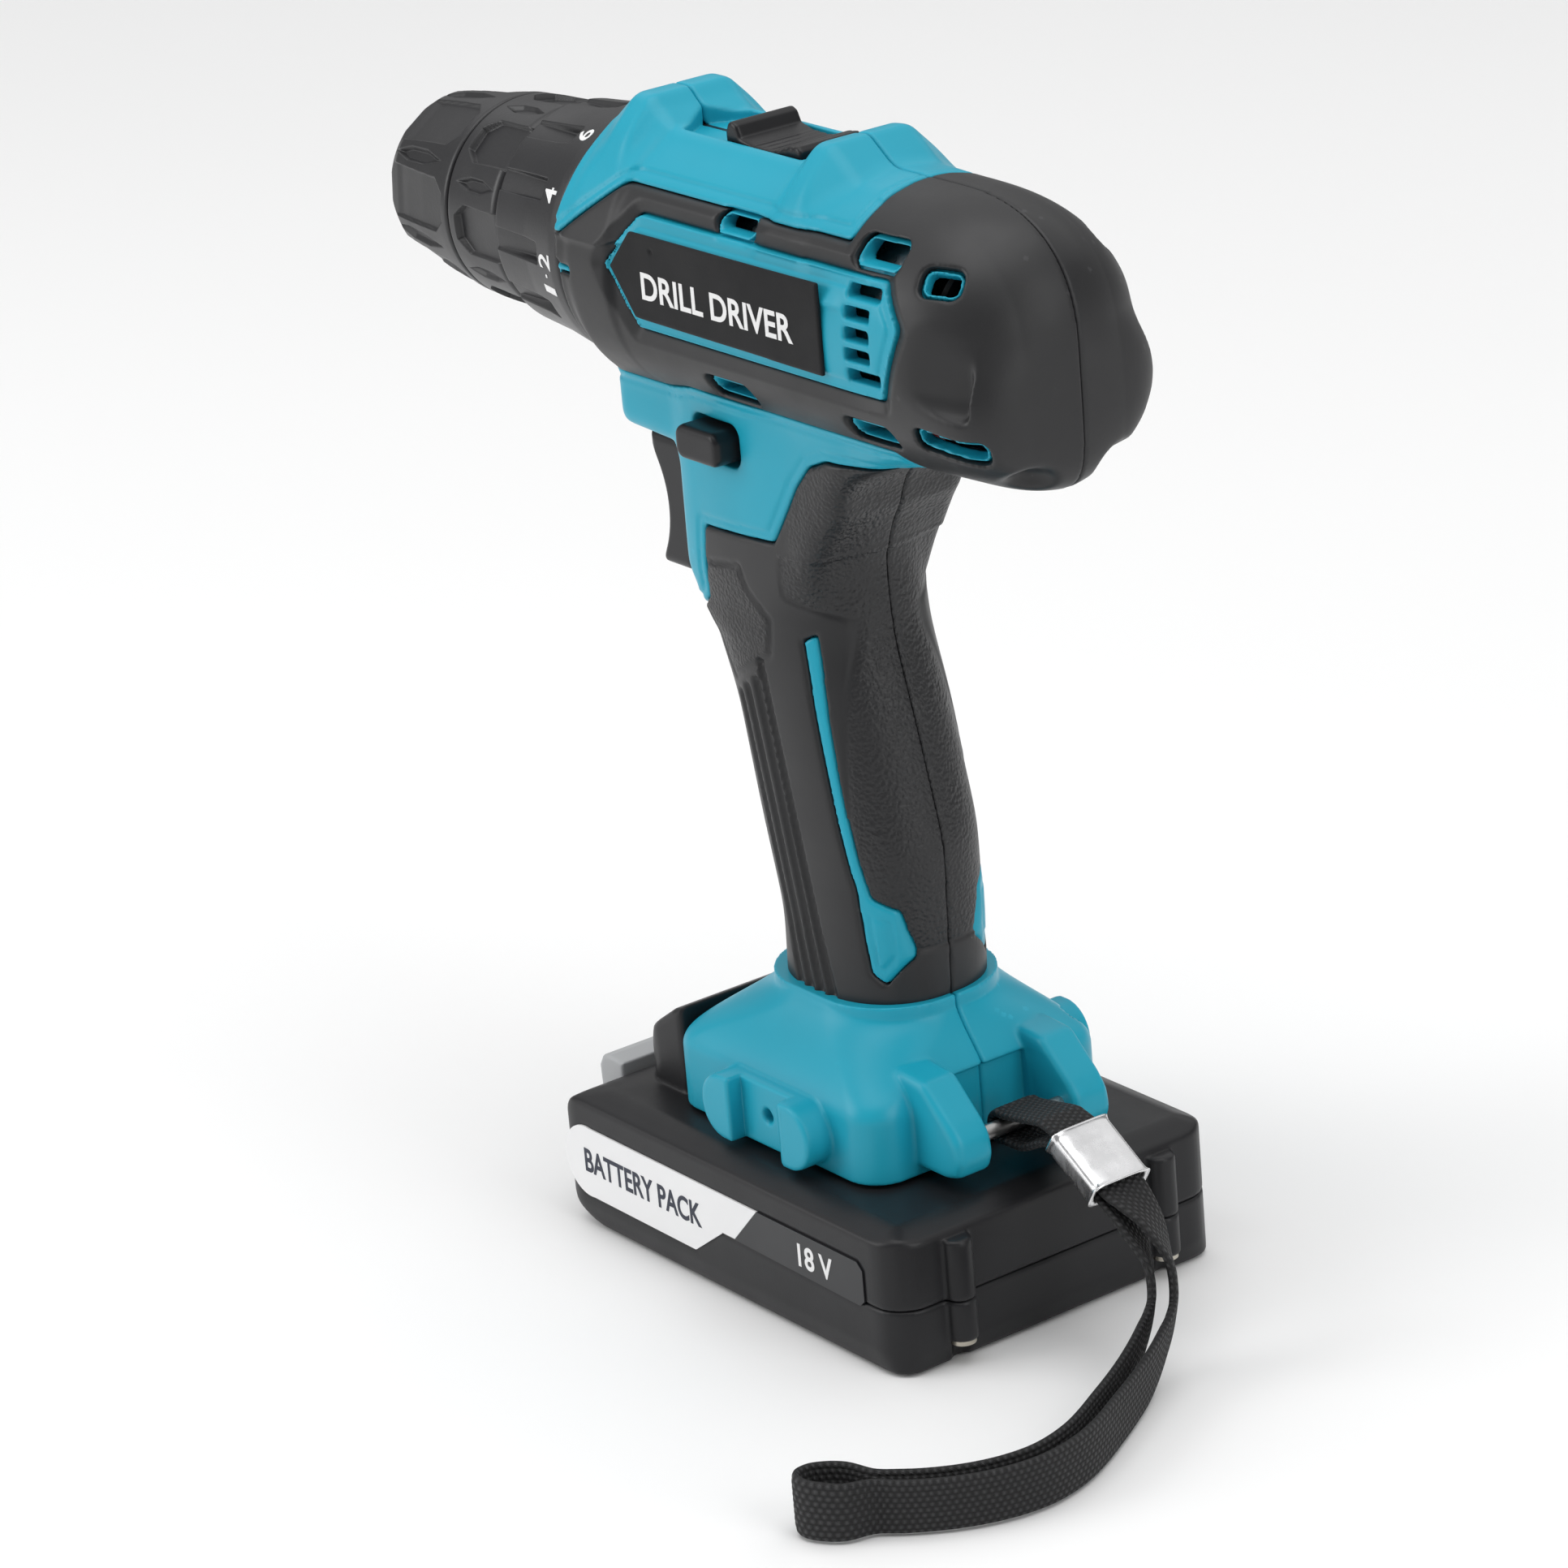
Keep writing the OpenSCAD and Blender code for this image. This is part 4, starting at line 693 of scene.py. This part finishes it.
    # trigger opening, lever passage, selector well, rail slot
    trig = box(x, y, z, (-60, -7.9, 126.6), (-14, 7.9, 151.2), 0.8)
    plast = smax(plast, -trig, 0.6)
    lev = np.maximum(slot2(x, z, -9, 157.6, 14.4, 8.2, 2.4), 10 - side)
    plast = smax(plast, -lev, 0.6)
    well = soft(poly([(-27.4, 0), (-22.8, -7.6), (12, -7.6), (12, 7.6), (-22.8, 7.6)], x, y), 0.35, h)
    plast = smax(plast, -np.maximum(well, 208.8 - z), 0.5)
    plast = np.maximum(plast, -box(x, y, z, (-13, -2, 196), (4, 2, 212)))
    plast = np.maximum(plast, -box(x, y, z, (-42, -15.2, 20), (31, 15.2, 32.2)))
    plast = np.maximum(plast, -box(x, y, z, (-42, -19, 32), (31, 19, 37)))
    if s > 0:
        for sx, sz, sy in SCREW_WELLS:
            sc = np.maximum(np.sqrt((x - sx) ** 2 + (z - sz) ** 2) - SCREW_WELL_R, sy - y)
            plast = smax(plast, -sc, 0.4)
            rub = smax(rub, -sc, 0.4)
    # parting plane of the two halves
    plast = smax(plast, 0.06 - side, 0.55)
    rub = smax(rub, 0.04 - side, 0.4)
    name = side_name(s)
    v, q = nets(plast.astype(np.float32), lo, h)
    add_mesh("moulded_housing_" + name, v, q, teal, stands_for=("housing_" + name,))
    v, q = nets(rub.astype(np.float32), lo, h)
    o = add_mesh("moulded_rubber_" + name, v, q, rubber_mat, stands_for=("overmould_" + name,))
    # pebbled panels are a mask on the vertices
    px, pz = v[:, 0], v[:, 2]
    a1 = poly([(-15.2, 132.9), (-6, 134.2), (-4.2, 130.6), (1, 125.8), (0.2, 119.8), (-11.6, 113.1),
               (-19, 124.8)], px, pz)
    a2 = poly([(6.5, 139.4), (23, 140.6), (60, 128), (60, 64), (24, 66.6), (19.6, 78), (18, 90), (16.6, 108),
               (16, 127.4), (6.6, 131.4)], px, pz)
    mask = np.maximum(step(a1, 0.4, -0.4), step(a2, 0.6, -0.6) * 0.8)
    up_part = step(pz, 139, 142) * step(pz, 160, 157) * step(px, 8, 12) * 0.8
    mask = np.maximum(mask, up_part)
    at = o.data.attributes.new("pebble", "FLOAT", "POINT")
    at.data.foreach_set("value", mask.astype(np.float32))


H = 0.42
make_body(-1, H)
make_body(1, H)


# ------------------------------------------------------------------ wrist strap
MID = np.array([(54, 0, 38.6), (59.5, 0, 38), (70, 0, 31.4), (76, 0, 26), (80, 0, 19.5), (81.5, -1, 13),
                (84, -6, 8), (89.5, -15, 5.6), (97, -28, 5.2), (102, -38, 5.2), (104, -48, 5.2),
                (102, -58, 5.2), (97, -67, 5.2), (91, -74, 5.2)], float)
WIDE = np.array([(0, 1, 0), (0, 1, 0), (0, 1, 0), (-0.4, 0.85, -0.3), (-0.66, 0.54, -0.5), (-0.66, 0.5, -0.56),
                 (-0.4, 0.3, -0.85), (-0.1, 0.05, -1), (0, 0, -1), (0, 0, -1), (0, 0, -1), (0, 0, -1), (0, 0, -1),
                 (0, 0, -1)], float)


def unit(v):
    return v / np.linalg.norm(v)


def catmull(p, u):
    k = int(math.floor(u))
    a, b, c, d = (p[max(0, min(len(p) - 1, k + i))] for i in (-1, 0, 1, 2))
    t = u - k
    return 0.5 * (2 * b + (c - a) * t + (2 * a - 5 * b + 4 * c - d) * t * t + (3 * b - a - 3 * c + d) * t ** 3)


def mid_frame(u):
    k = min(int(math.floor(u)), len(WIDE) - 2)
    w = unit(WIDE[k] * (1 - (u - k)) + WIDE[k + 1] * (u - k))
    t = unit(catmull(MID, min(u + 0.05, 12.99)) - catmull(MID, max(u - 0.05, 0)))
    return catmull(MID, u), w, t, unit(np.cross(t, w))


def run(u, s):
    m, w, t, n = mid_frame(u)
    gap = 1.7 - 0.7 * u if u < 1 else min(1.95, 1 + max(0, u - 2))
    return m + s * gap * n, w


def strap_route():
    """Middle line of the webbing and its width direction, in mm."""
    y = np.array((0, 1.0, 0))
    pts = [run(1.45, -1), run(1, -1), (np.array((54.4, 0, 36.4)), y), (np.array((49, 0, 33.9)), y)]
    for i in range(7):
        a = math.radians(295 - 37.5 * i)
        pts.append((np.array((42.8 + 2.7 * math.cos(a), 0, 36 + 2.7 * math.sin(a))), y))
    pts.append((np.array((49, 0, 39.4)), y))
    end = 12.9
    pts += [run(end * k / 26, 1) for k in range(27)]
    m, w, t, n = mid_frame(end)
    up = np.array((0, 0, -1.0))
    for q in ((5, 4.2), (10, 3.6), (12.6, 1.4), (12.6, -1.4), (10, -3.6), (5, -4.2)):
        pts.append((m + q[0] * t + q[1] * n, up))
    pts += [run(end * k / 26, -1) for k in range(26, 3, -1)]
    return np.array([p[0] for p in pts]), np.array([p[1] for p in pts])


def sweep(p, w, cs, grow):
    """Closed tube: outline cs of (across, thickness) carried along p, widened by grow."""
    m, n = len(p), len(cs)
    d = np.gradient(p, axis=0)
    d /= np.linalg.norm(d, axis=1)[:, None]
    nn = np.cross(d, w)
    nn /= np.linalg.norm(nn, axis=1)[:, None]
    ww = np.cross(nn, d)
    wide = cs[None, :, 0:1] * (1 + grow)[:, None, None]
    v = p[:, None, :] + wide * ww[:, None, :] + cs[None, :, 1:2] * nn[:, None, :]
    i, j = np.meshgrid(np.arange(m - 1), np.arange(n), indexing="ij")
    a, b = i * n + j, i * n + (j + 1) % n
    q = np.stack([a, a + n, b + n, b], -1).reshape(-1, 4)
    faces = q.tolist() + [list(range(n)), [(m - 1) * n + k for k in range(n - 1, -1, -1)]]
    return v.reshape(-1, 3), faces


coarse_p, coarse_w = strap_route()
us = np.linspace(0, len(coarse_p) - 1.001, (len(coarse_p) - 1) * 9 + 1)
line = np.array([catmull(coarse_p, u) for u in us])
width = np.array([unit(catmull(coarse_w, u)) for u in us])
half, thick = 5.0, 0.8
flare = 0.14 * np.exp(-((line - line[np.argmin(line[:, 1])]) ** 2).sum(1) / 130.0)
line[:, 2] += half * flare
across = np.linspace(-half, half, 41)
prof = thick * (1 - np.abs(across / half) ** 8) ** 0.5 * (1 - 0.1 * (1 - np.abs(np.sin(np.pi * across))))
cs = np.concatenate([np.stack([across, prof], 1), np.stack([across[-2:0:-1], -prof[-2:0:-1]], 1)])
sv, sf = sweep(line, width, cs, flare)
strap = add_mesh("woven_wrist_strap", sv, sf, web_mat, stands_for=("wrist_strap",))
run_mm = np.concatenate([[0], np.cumsum(np.linalg.norm(np.diff(line, axis=0), axis=1))])
weave = np.zeros((len(line), len(cs), 3), np.float32)
weave[:, :, 0] = run_mm[:, None]
weave[:, :, 1] = (cs[:, 0] + half)[None, :]
strap.data.attributes.new("weave", "FLOAT_VECTOR", "POINT").data.foreach_set("vector", weave.ravel())


def crimped_ferrule():
    """Tin sleeve crimped round both layers of the strap, its ends flared."""
    xs = np.linspace(-6.6, 6.6, 45)
    th = np.linspace(0, 2 * np.pi, 96, endpoint=False)
    rings = []
    for x in xs:
        flare = 0.35 * max(0.0, (abs(x) - 5.4) / 1.2) ** 2
        dent = 0.14 * math.exp(-((abs(x) - 2.4) / 1.1) ** 2)
        c, s = np.cos(th), np.sin(th)
        a = (6.2 + flare) * np.sign(c) * np.abs(c) ** (2 / 5.0)
        b = (2.75 + flare) * np.sign(s) * np.abs(s) ** (2 / 5.0)
        b = b - np.sign(b) * dent * np.clip(1 - (a / 4.4) ** 2, 0, 1) * np.clip(np.abs(s) * 1.6, 0, 1)
        rings.append(np.stack([np.full_like(a, x), a, b], 1))
    for x in xs[::-1]:
        flare = 0.35 * max(0.0, (abs(x) - 5.4) / 1.2) ** 2
        c, s = np.cos(th), np.sin(th)
        a = (5.3 + flare) * np.sign(c) * np.abs(c) ** (2 / 5.0)
        b = (2.0 + flare) * np.sign(s) * np.abs(s) ** (2 / 5.0)
        rings.append(np.stack([np.full_like(a, x), a, b], 1))
    v = np.array(rings)
    m, n = v.shape[0], v.shape[1]
    i, j = np.meshgrid(np.arange(m), np.arange(n), indexing="ij")
    a, b = i * n + j, i * n + (j + 1) % n
    c, d = ((i + 1) % m) * n + j, ((i + 1) % m) * n + (j + 1) % n
    q = np.stack([a, b, d, c], -1).reshape(-1, 4)
    v = v.reshape(-1, 3)
    t = math.radians(32.5)
    x, z = v[:, 0].copy(), v[:, 2].copy()
    v[:, 0] = 64.8 + x * math.cos(t) + z * math.sin(t)
    v[:, 2] = 35 - x * math.sin(t) + z * math.cos(t)
    return v, q


fv, fq = crimped_ferrule()
ferrule = add_mesh("crimped_ferrule", fv, fq, crimp, stands_for=("strap_ferrule",))


# ------------------------------------------------------------------ chuck and torque ring
def refine(pts, gap):
    pts = np.array(pts, float)
    out = []
    for a, b in zip(pts[:-1], pts[1:]):
        n = max(1, int(math.ceil(np.linalg.norm(b - a) / gap)))
        out += [a + (b - a) * k / n for k in range(n)]
    out.append(pts[-1])
    out = np.array(out)
    for _ in range(3):
        out[1:-1] = 0.25 * out[:-2] + 0.5 * out[1:-1] + 0.25 * out[2:]
    return out


def revolve(name, outer_pts, inner_pts, shape, mat, body, stands_for, gap=0.3, n=840):
    """Turned piece about the spindle axis; shape(x, th, r) gives the new outer radius."""
    o = refine(outer_pts, gap)
    prof = np.concatenate([o, np.array(inner_pts, float)])
    th = np.linspace(0, 360, n, endpoint=False)
    x, t = np.meshgrid(o[:, 0], th, indexing="ij")
    r = np.repeat(o[:, 1][:, None], n, 1)
    r = shape(x, t, r)
    r = np.concatenate([r, np.repeat(prof[len(o):, 1][:, None], n, 1)])
    x = np.repeat(prof[:, 0][:, None], n, 1)
    t = np.radians(np.repeat(th[None, :], len(prof), 0))
    v = np.stack([x, -r * np.sin(t), AXIS_Z + r * np.cos(t)], -1).reshape(-1, 3)
    m = len(prof)
    i, j = np.meshgrid(np.arange(m), np.arange(n), indexing="ij")
    a, b = i * n + j, i * n + (j + 1) % n
    c, d = ((i + 1) % m) * n + j, ((i + 1) % m) * n + (j + 1) % n
    q = np.stack([a, c, d, b], -1).reshape(-1, 4)
    return add_mesh(name, v, q, mat, body=body, stands_for=stands_for)


def nearest(th, at, n):
    """Angle in degrees from the nearest of n places round the axis."""
    p = 360.0 / n
    return (th - at + p / 2) % p - p / 2


def flat_panel(x, th, r, at, n, outline, deep, lip=0.22):
    dth = nearest(th, at, n)
    sd = poly(outline, x, np.radians(dth) * r)
    floor = (r - deep) / np.cos(np.radians(dth))
    return r + (np.minimum(floor, r) - r) * step(-sd, 0.0, lip)


def lens(x, th, r, at, n, x0, x1, w, deep):
    dth = nearest(th, at, n)
    m = (2 * x0 + x1) / 3
    k = (x0 + 2 * x1) / 3
    sd = poly([(x0, 0), (m, w / 2), (k, w / 2), (x1, 0), (k, -w / 2), (m, -w / 2)], x, np.radians(dth) * r)
    return r - np.clip(-sd * 1.3, 0, deep)


def hexed(x0, x1, w):
    tip = 3.2 if x1 > x0 else -3.2
    return [(x0, -w / 2), (x1 - tip, -w / 2), (x1, -w / 4), (x1, w / 4), (x1 - tip, w / 2), (x0, w / 2)]


def front_shape(x, th, r):
    deep = 1.5 * step(x, -111.5, -105)
    r2 = flat_panel(x, th, r, 34, 7, hexed(-120, -87.4, 10.4), deep)
    return lens(x, th, r2, 8.3, 7, -109, -89.5, 3.0, 0.9)


def rear_shape(x, th, r):
    r2 = flat_panel(x, th, r, 42, 7, hexed(-60, -82.2, 9.6), 1.4)
    return lens(x, th, r2, 16.3, 7, -82.6, -69.6, 2.7, 0.8)


def ring_shape(x, th, r):
    v = np.radians(nearest(th, 0, 12)) * r
    sd = slot2(x, v, -61, 0, 20, 4.4, 1.0)
    return r + (np.minimum(r, 20.3) - r) * step(-sd, 0.0, 0.3)


revolve("chuck_sleeve_front",
        [(-111.9, 10.6), (-111.4, 13.2), (-110, 15.2), (-107, 16.7), (-103, 17.4), (-97, 18.2), (-88.2, 19.1),
         (-85.8, 19.3), (-85.45, 19.0)],
        [(-85.4, 17.0), (-92.4, 16.9), (-92.5, 15.6), (-103, 12.6), (-105, 10.5), (-111.6, 10.4)],
        front_shape, sleeve_mat, "grip_sleeve", ("chuck_front_sleeve",))
revolve("chuck_sleeve_rear", [(-84.95, 19.0), (-84.6, 19.35), (-81.2, 19.6), (-69.2, 20.2), (-68.2, 19.7),
                              (-68, 19.0)],
        [(-68, 12.1), (-71, 12.06), (-72.5, 17.2), (-79.9, 17.2), (-80, 16.94), (-84.9, 16.94)],
        rear_shape, sleeve_mat, "chuck", ("chuck_rear_sleeve",))
revolve("torque_ring_body", [(-67.3, 13.6), (-67.4, 20.1), (-66.5, 21.1), (-56, 22), (-46, 23.5), (-43.7, 23.5),
                             (-43.25, 23.1)],
        [(-43.2, 20.3), (-64.3, 19.4), (-64.5, 13.5)],
        ring_shape, sleeve_mat, "clutch_ring", ("torque_ring",))


# ------------------------------------------------------------------ lettering
def letters(s, w, h, weight=0.0, deep=0.12):
    """Mesh of generic words or numbers, w by h mm, centred: across, up and out."""
    cu = bpy.data.curves.new("glyphs", "FONT")
    cu.body, cu.size, cu.align_x, cu.align_y = s, 1.0, "CENTER", "CENTER"
    cu.offset, cu.extrude, cu.resolution_u = weight, 0.05, 6
    o = bpy.data.objects.new("glyphs", cu)
    scene.collection.objects.link(o)
    me = bpy.data.meshes.new_from_object(o.evaluated_get(bpy.context.evaluated_depsgraph_get()))
    v = np.zeros(len(me.vertices) * 3, np.float32)
    me.vertices.foreach_get("co", v)
    v = v.reshape(-1, 3)
    f = [list(p.vertices) for p in me.polygons]
    bpy.data.objects.remove(o)
    bpy.data.meshes.remove(me)
    lo, hi = v.min(0), v.max(0)
    v = (v - (lo + hi) / 2) / (hi - lo)
    return v * np.array([w, h, deep]), f


def flat_letters(name, s, x0, y0, z0, w, h, side, mat, body, weight=0.02):
    v, f = letters(s, w, h, weight)
    out = np.stack([x0 - side * v[:, 0], y0 + side * v[:, 2], z0 + v[:, 1]], 1)
    add_mesh(name, out, f, mat, smooth=False, body=body)


def ring_letters(name, s, theta, h, w, weight=0.012):
    v, f = letters(s, w, h, weight)
    x = -48.2 - v[:, 1]
    r = np.interp(x, [-56, -46], [22, 23.5]) + 0.03 + v[:, 2]
    t = np.radians(theta) - v[:, 0] / 23.2
    add_mesh(name, np.stack([x, -r * np.sin(t), AXIS_Z + r * np.cos(t)], 1), f, ink, smooth=False,
             body="clutch_ring")


SCALE = [("1", 106), ("2", 92), ("4", 62), ("6", 30), ("8", -1), ("10", -32), ("12", -63), ("14", -94),
         ("16", -125), ("18", -156)]
for s, a in SCALE:
    ring_letters("scale_number_" + s, s, a, 4.2, 1.5 if s == "1" else 2.9 * len(s))
ring_letters("scale_dot", ".", 99, 0.7, 0.7)


# ------------------------------------------------------------------ smaller moulded pieces
def solid(name, lo, hi, h, field, mat, body, stands_for=()):
    x, y, z = axes(lo, hi, h)
    v, q = nets(field(x, y, z, h).astype(np.float32), lo, h)
    return add_mesh(name, v, q, mat, body=body, stands_for=stands_for)


def pack_form(x, y, z):
    plan = rect2(x, y, 52.8, 37.5, 8)
    end = np.minimum(np.sqrt((x + 38.8) ** 2 + (z - 14) ** 2) - 14,
                     poly([(-38.8, 0), (51.4, 0), (52.8, 4), (52.8, 25.6), (47.3, 28), (-38.8, 28)], x, z))
    cross = poly([(-36.3, 0), (36.3, 0), (37.5, 4.5), (37.5, 25.6), (32.1, 28), (-32.1, 28), (-37.5, 25.6),
                  (-37.5, 4.5)], y, z)
    return smax(smax(plan, end, 1.1), cross, 1.1)


LABEL = [(-41.5, 20.9), (41.5, 20.6), (43, 19.2), (43, 13.2), (41.6, 12), (0.5, 12.8), (-8.6, 6.5), (-41.5, 6.7)]


def pack_field(x, y, z, h):
    shell = pack_form(x, y, z)
    ay = np.abs(y)
    boss_r = np.sqrt((x - 52.8) ** 2 + (ay - 23.6) ** 2)
    d = smin(shell, smax(boss_r - 2.9, np.abs(z - 14.6) - 10, 0.9), 0.5)
    tower = smax(rect2(x + 25.6, y, 15.6, 24, 7),
                 poly([(-41.2, 27), (-40.6, 33), (-37, 39), (-29.4, 44.2), (-26.4, 45.4), (-26.4, 27)], x, z), 1.6)
    d = smin(d, tower, 0.7)
    rail = np.minimum(box(x, y, z, (-27, -14.8, 27), (24.6, 14.8, 32.8), 0.3),
                      box(x, y, z, (-27, -18.6, 32.6), (24.6, 18.6, 36.4), 0.5))
    d = np.minimum(d, rail)
    # label field sunk into both sides
    lab = np.minimum(poly(LABEL, x, z), np.sqrt((x + 42) ** 2 + (z - 13.8) ** 2) - 7.2)
    d = smax(d, -np.maximum(lab - 0.25, 37.03 - ay), 0.2)
    d = smax(d, -np.maximum(boss_r - 2.2, z - 5.6), 0.4)
    d = smax(d, -box(x, y, z, (-60, -25, 17.6), (-46.4, 25, 34), 0.4), 0.4)
    for k in (-1, 0, 1):
        d = np.maximum(d, -box(x, y, z, (9, k * 10.4 - 1, 33), (30, k * 10.4 + 1, 40)))
    hollow = np.maximum(shell + 2.3, 3.2 - boss_r)
    return np.maximum(d, -hollow)


def lower_field(x, y, z, h):
    return smax(pack_field(x, y, z, h), z - 12.74, 0.5)


def upper_field(x, y, z, h):
    return smax(pack_field(x, y, z, h), 12.86 - z, 0.5)


HB = 0.45
solid("battery_lower_shell", (-54, -38.6, -1.2), (56.8, 38.6, 14.4), HB, lower_field, pack_mat, "battery",
      ("battery_case_lower",))
solid("battery_upper_shell", (-54, -38.6, 11.2), (56.8, 38.6, 47), HB, upper_field, pack_mat, "battery",
      ("battery_case_upper",))


def latch_field(x, y, z, h):
    d = smax(poly([(-54.4, 20.6), (-54.6, 26), (-53.4, 28), (-51, 28.6), (-46.8, 28.2), (-46.8, 20.6)], x, z),
             np.abs(y) - 24.6, 0.9)
    ribs = np.abs((y + 60) % 4 - 2) - 0.6
    return smax(d, -np.maximum(np.maximum(ribs, x + 53.9), np.maximum(np.abs(y) - 14, np.abs(z - 24) - 2.2)), 0.3)


HF = 0.28
solid("latch_button_cap", (-55.6, -25.6, 19.6), (-45.8, 25.6, 29.6), HF, latch_field, grey, "latch_button",
      ("battery_latch",))


def trigger_field(x, y, z, h):
    d = smax(poly([(-43.4, 150.6), (-43.4, 127), (-42.6, 125.2), (-41.6, 124.9), (-33.4, 124.9), (-31.6, 127.2),
                   (-22, 127.2), (-22, 150.6)], x, z), np.abs(y) - 7.5, 2.2)
    d = smax(d, 18 - np.sqrt((x + 57.4) ** 2 + (z - 136.2) ** 2), 1.2)
    d = np.minimum(d, box(x, y, z, (-22.5, -2.5, 136.4), (-12, 2.5, 143.6), 0.4))
    return np.maximum(d, -np.maximum(np.maximum(box(x, y, z, (-36, -5.7, 129), (-21, 5.7, 149), 0.5),
                                                3 - np.abs(y)), -60 - x))


solid("trigger_shell", (-44.6, -8.6, 123.8), (-11, 8.6, 151.8), HF, trigger_field, black_fine, "trigger_button",
      ("trigger",))


def lever_field(x, y, z, h):
    d = smax(smax(rect2(x + 9, z - 157.6, 6.3, 3.2, 1.5), np.abs(x + 9) + np.abs(z - 157.6) - 8.2, 0.8),
             np.abs(y) - 21.2, 1.4)
    return smax(d, -box(x, y, z, (-12, -4, 150), (-6, 4, 156), 0.3), 0.3)


solid("direction_lever_bar", (-16.4, -22.4, 153.4), (-1.6, 22.4, 161.8), HF, lever_field, black_fine,
      "reverse_lever", ("direction_lever",))


def selector_field(x, y, z, h):
    side = poly([(-11.4, 209), (-11.4, 211.6), (-10.6, 213.2), (-9.4, 213.6), (-8.2, 213), (-7.2, 211), (-4, 210.2),
                 (1, 210.1), (4, 210.6), (7, 211.7), (9.4, 212), (10.4, 211.2), (10.4, 209)], x, z)
    ribs = 0.22 * np.clip(1 - np.abs((x + 50) % 1.9 - 0.95) / 0.4, 0, 1) * np.where(np.abs(x - 3) < 6.5, 1, 0)
    d = smax(side + ribs, np.abs(y) - 7, 0.8)
    return np.minimum(d, box(x, y, z, (-2.8, -1.6, 206.7), (2.6, 1.6, 209.4), 0.2))


solid("speed_selector_cap", (-12.6, -8.2, 206), (11.6, 8.2, 214.8), HF, selector_field, black_fine,
      "gear_selector", ("speed_selector",))


def make_badge(s):
    def field(x, y, z, h):
        edge = poly([(-26.2, 188.6), (-19.5, 195.9), (34.9, 196.2), (34.9, 179.8), (-19.5, 180.2)], x, z)
        d = smax(edge, np.abs(y * s - 23.65) - 0.45, 0.35)
        pin = np.sqrt((x + 13) ** 2 + (z - 193.2) ** 2) - 0.45
        return smax(d, -np.maximum(pin, 23.8 - y * s), 0.2)
    lo = (-27.4, min(s * 22.4, s * 25), 178.8)
    hi = (36, max(s * 22.4, s * 25), 197.2)
    name = side_name(s)
    solid("badge_plate_" + name, lo, hi, HF, field, badge_mat, "drill", ("badge_" + name,))
    flat_letters("badge_letters_" + name, "DRILL DRIVER", 5.4, s * 24.1, 186.6, 44, 5.0, s, ink, "drill")


for s in (-1, 1):
    make_badge(s)
    side = side_name(s)
    flat_letters("pack_letters_" + side, "BATTERY PACK", -24.4, s * 37.48, 14.1, 37, 4.9, s, ink_dark, "battery")
    flat_letters("pack_rating_" + side, "18 V", 29, s * 37.48, 16.3, 10.2, 4.6, s, ink, "battery")

# ------------------------------------------------------------------ materials of the CAD nodes that show
leads = Nodes("motor_lead_insulation", (0.5, 0.01, 0.02), 0.35)
where = leads.node("ShaderNodeSeparateXYZ")
leads.link(leads.co, where.inputs[0])
tint = leads.mix(leads.ramp(where.outputs["Y"], -0.001, 0.001, 0, 1), (0.5, 0.01, 0.02), (0.02, 0.02, 0.022))
tint = leads.mix(leads.ramp(leads.noise(300), 0.3, 0.7, 0, 0.25), tint, (0.1, 0.02, 0.02))
leads.bump(leads.noise(900), 0.2, 0.00004)
lead_mat = leads.done(tint)

for mat, names in (
        (screw_mat, ("housing_screws", "battery_screws")),
        (dark_steel, ("chuck_body", "chuck_nut", "chuck_screw", "ring_gear_front", "ring_gear_rear",
                      "clutch_washer")),
        (steel, ("chuck_jaw_1", "chuck_jaw_2", "chuck_jaw_3", "spindle", "spindle_bearing", "carrier_first",
                 "rotor", "planet_front_1", "planet_front_2", "planet_front_3", "planet_rear_1", "planet_rear_2",
                 "planet_rear_3", "clutch_spring", "trigger_spring", "strap_pin", "motor_can")),
        (brass, ("spindle_bush", "motor_pinion", "battery_contacts", "terminal_block")),
        (black, ("motor_end_cap", "fan", "switch_module")),
        (black_fine, ("selector_plate",)), (alloy, ("gearbox_case", "heat_sink")), (magnet, ("motor_magnets",)),
        (copper, ("rotor_windings", "brushes")), (wrap, ("battery_cells",)), (board, ("battery_circuit",)),
        (lead_mat, ("motor_leads",)), (label_mat, ("battery_label_left", "battery_label_right"))):
    for node_name in names:
        paint(node_name, mat)


# ------------------------------------------------------------------ stage and light
def area(name, place, aim, wide, tall, power):
    data = bpy.data.lights.new(name, "AREA")
    data.shape, data.size, data.size_y, data.energy = "RECTANGLE", wide, tall, power
    o = bpy.data.objects.new(name, data)
    scene.collection.objects.link(o)
    o.location = place
    o.rotation_euler = (Vector(aim) - Vector(place)).to_track_quat("-Z", "Y").to_euler()


me = bpy.data.meshes.new("floor")
me.from_pydata([(-9, -9, -0.0002), (9, -9, -0.0002), (9, 9, -0.0002), (-9, 9, -0.0002)], [], [(0, 1, 2, 3)])
paper = Nodes("pale_paper", (0.9, 0.9, 0.9), 0.7)
me.materials.append(paper.done(paper.mix(paper.noise(3), (0.89, 0.89, 0.89), (0.91, 0.91, 0.91))))
floor = bpy.data.objects.new("floor", me)
scene.collection.objects.link(floor)
world = bpy.data.worlds.new("studio")
scene.world = world
world.use_nodes = True
world.node_tree.nodes["Background"].inputs["Color"].default_value = (1, 1, 1, 1)
world.node_tree.nodes["Background"].inputs["Strength"].default_value = 0.3
mid = (0, 0, 0.12)
area("sky_softbox", (-1.2, 1.6, 3.4), (-0.9, 1.2, 0), 9, 9, 150)
area("top_softbox", (0.1, -0.1, 1.5), mid, 1.2, 1.2, 8)
area("left_softbox", (-0.9, -1.4, 0.8), mid, 1.0, 1.2, 13)
area("right_softbox", (1.6, 0.2, 0.8), mid, 0.8, 1.2, 8)
scene.view_settings.view_transform = "Standard"
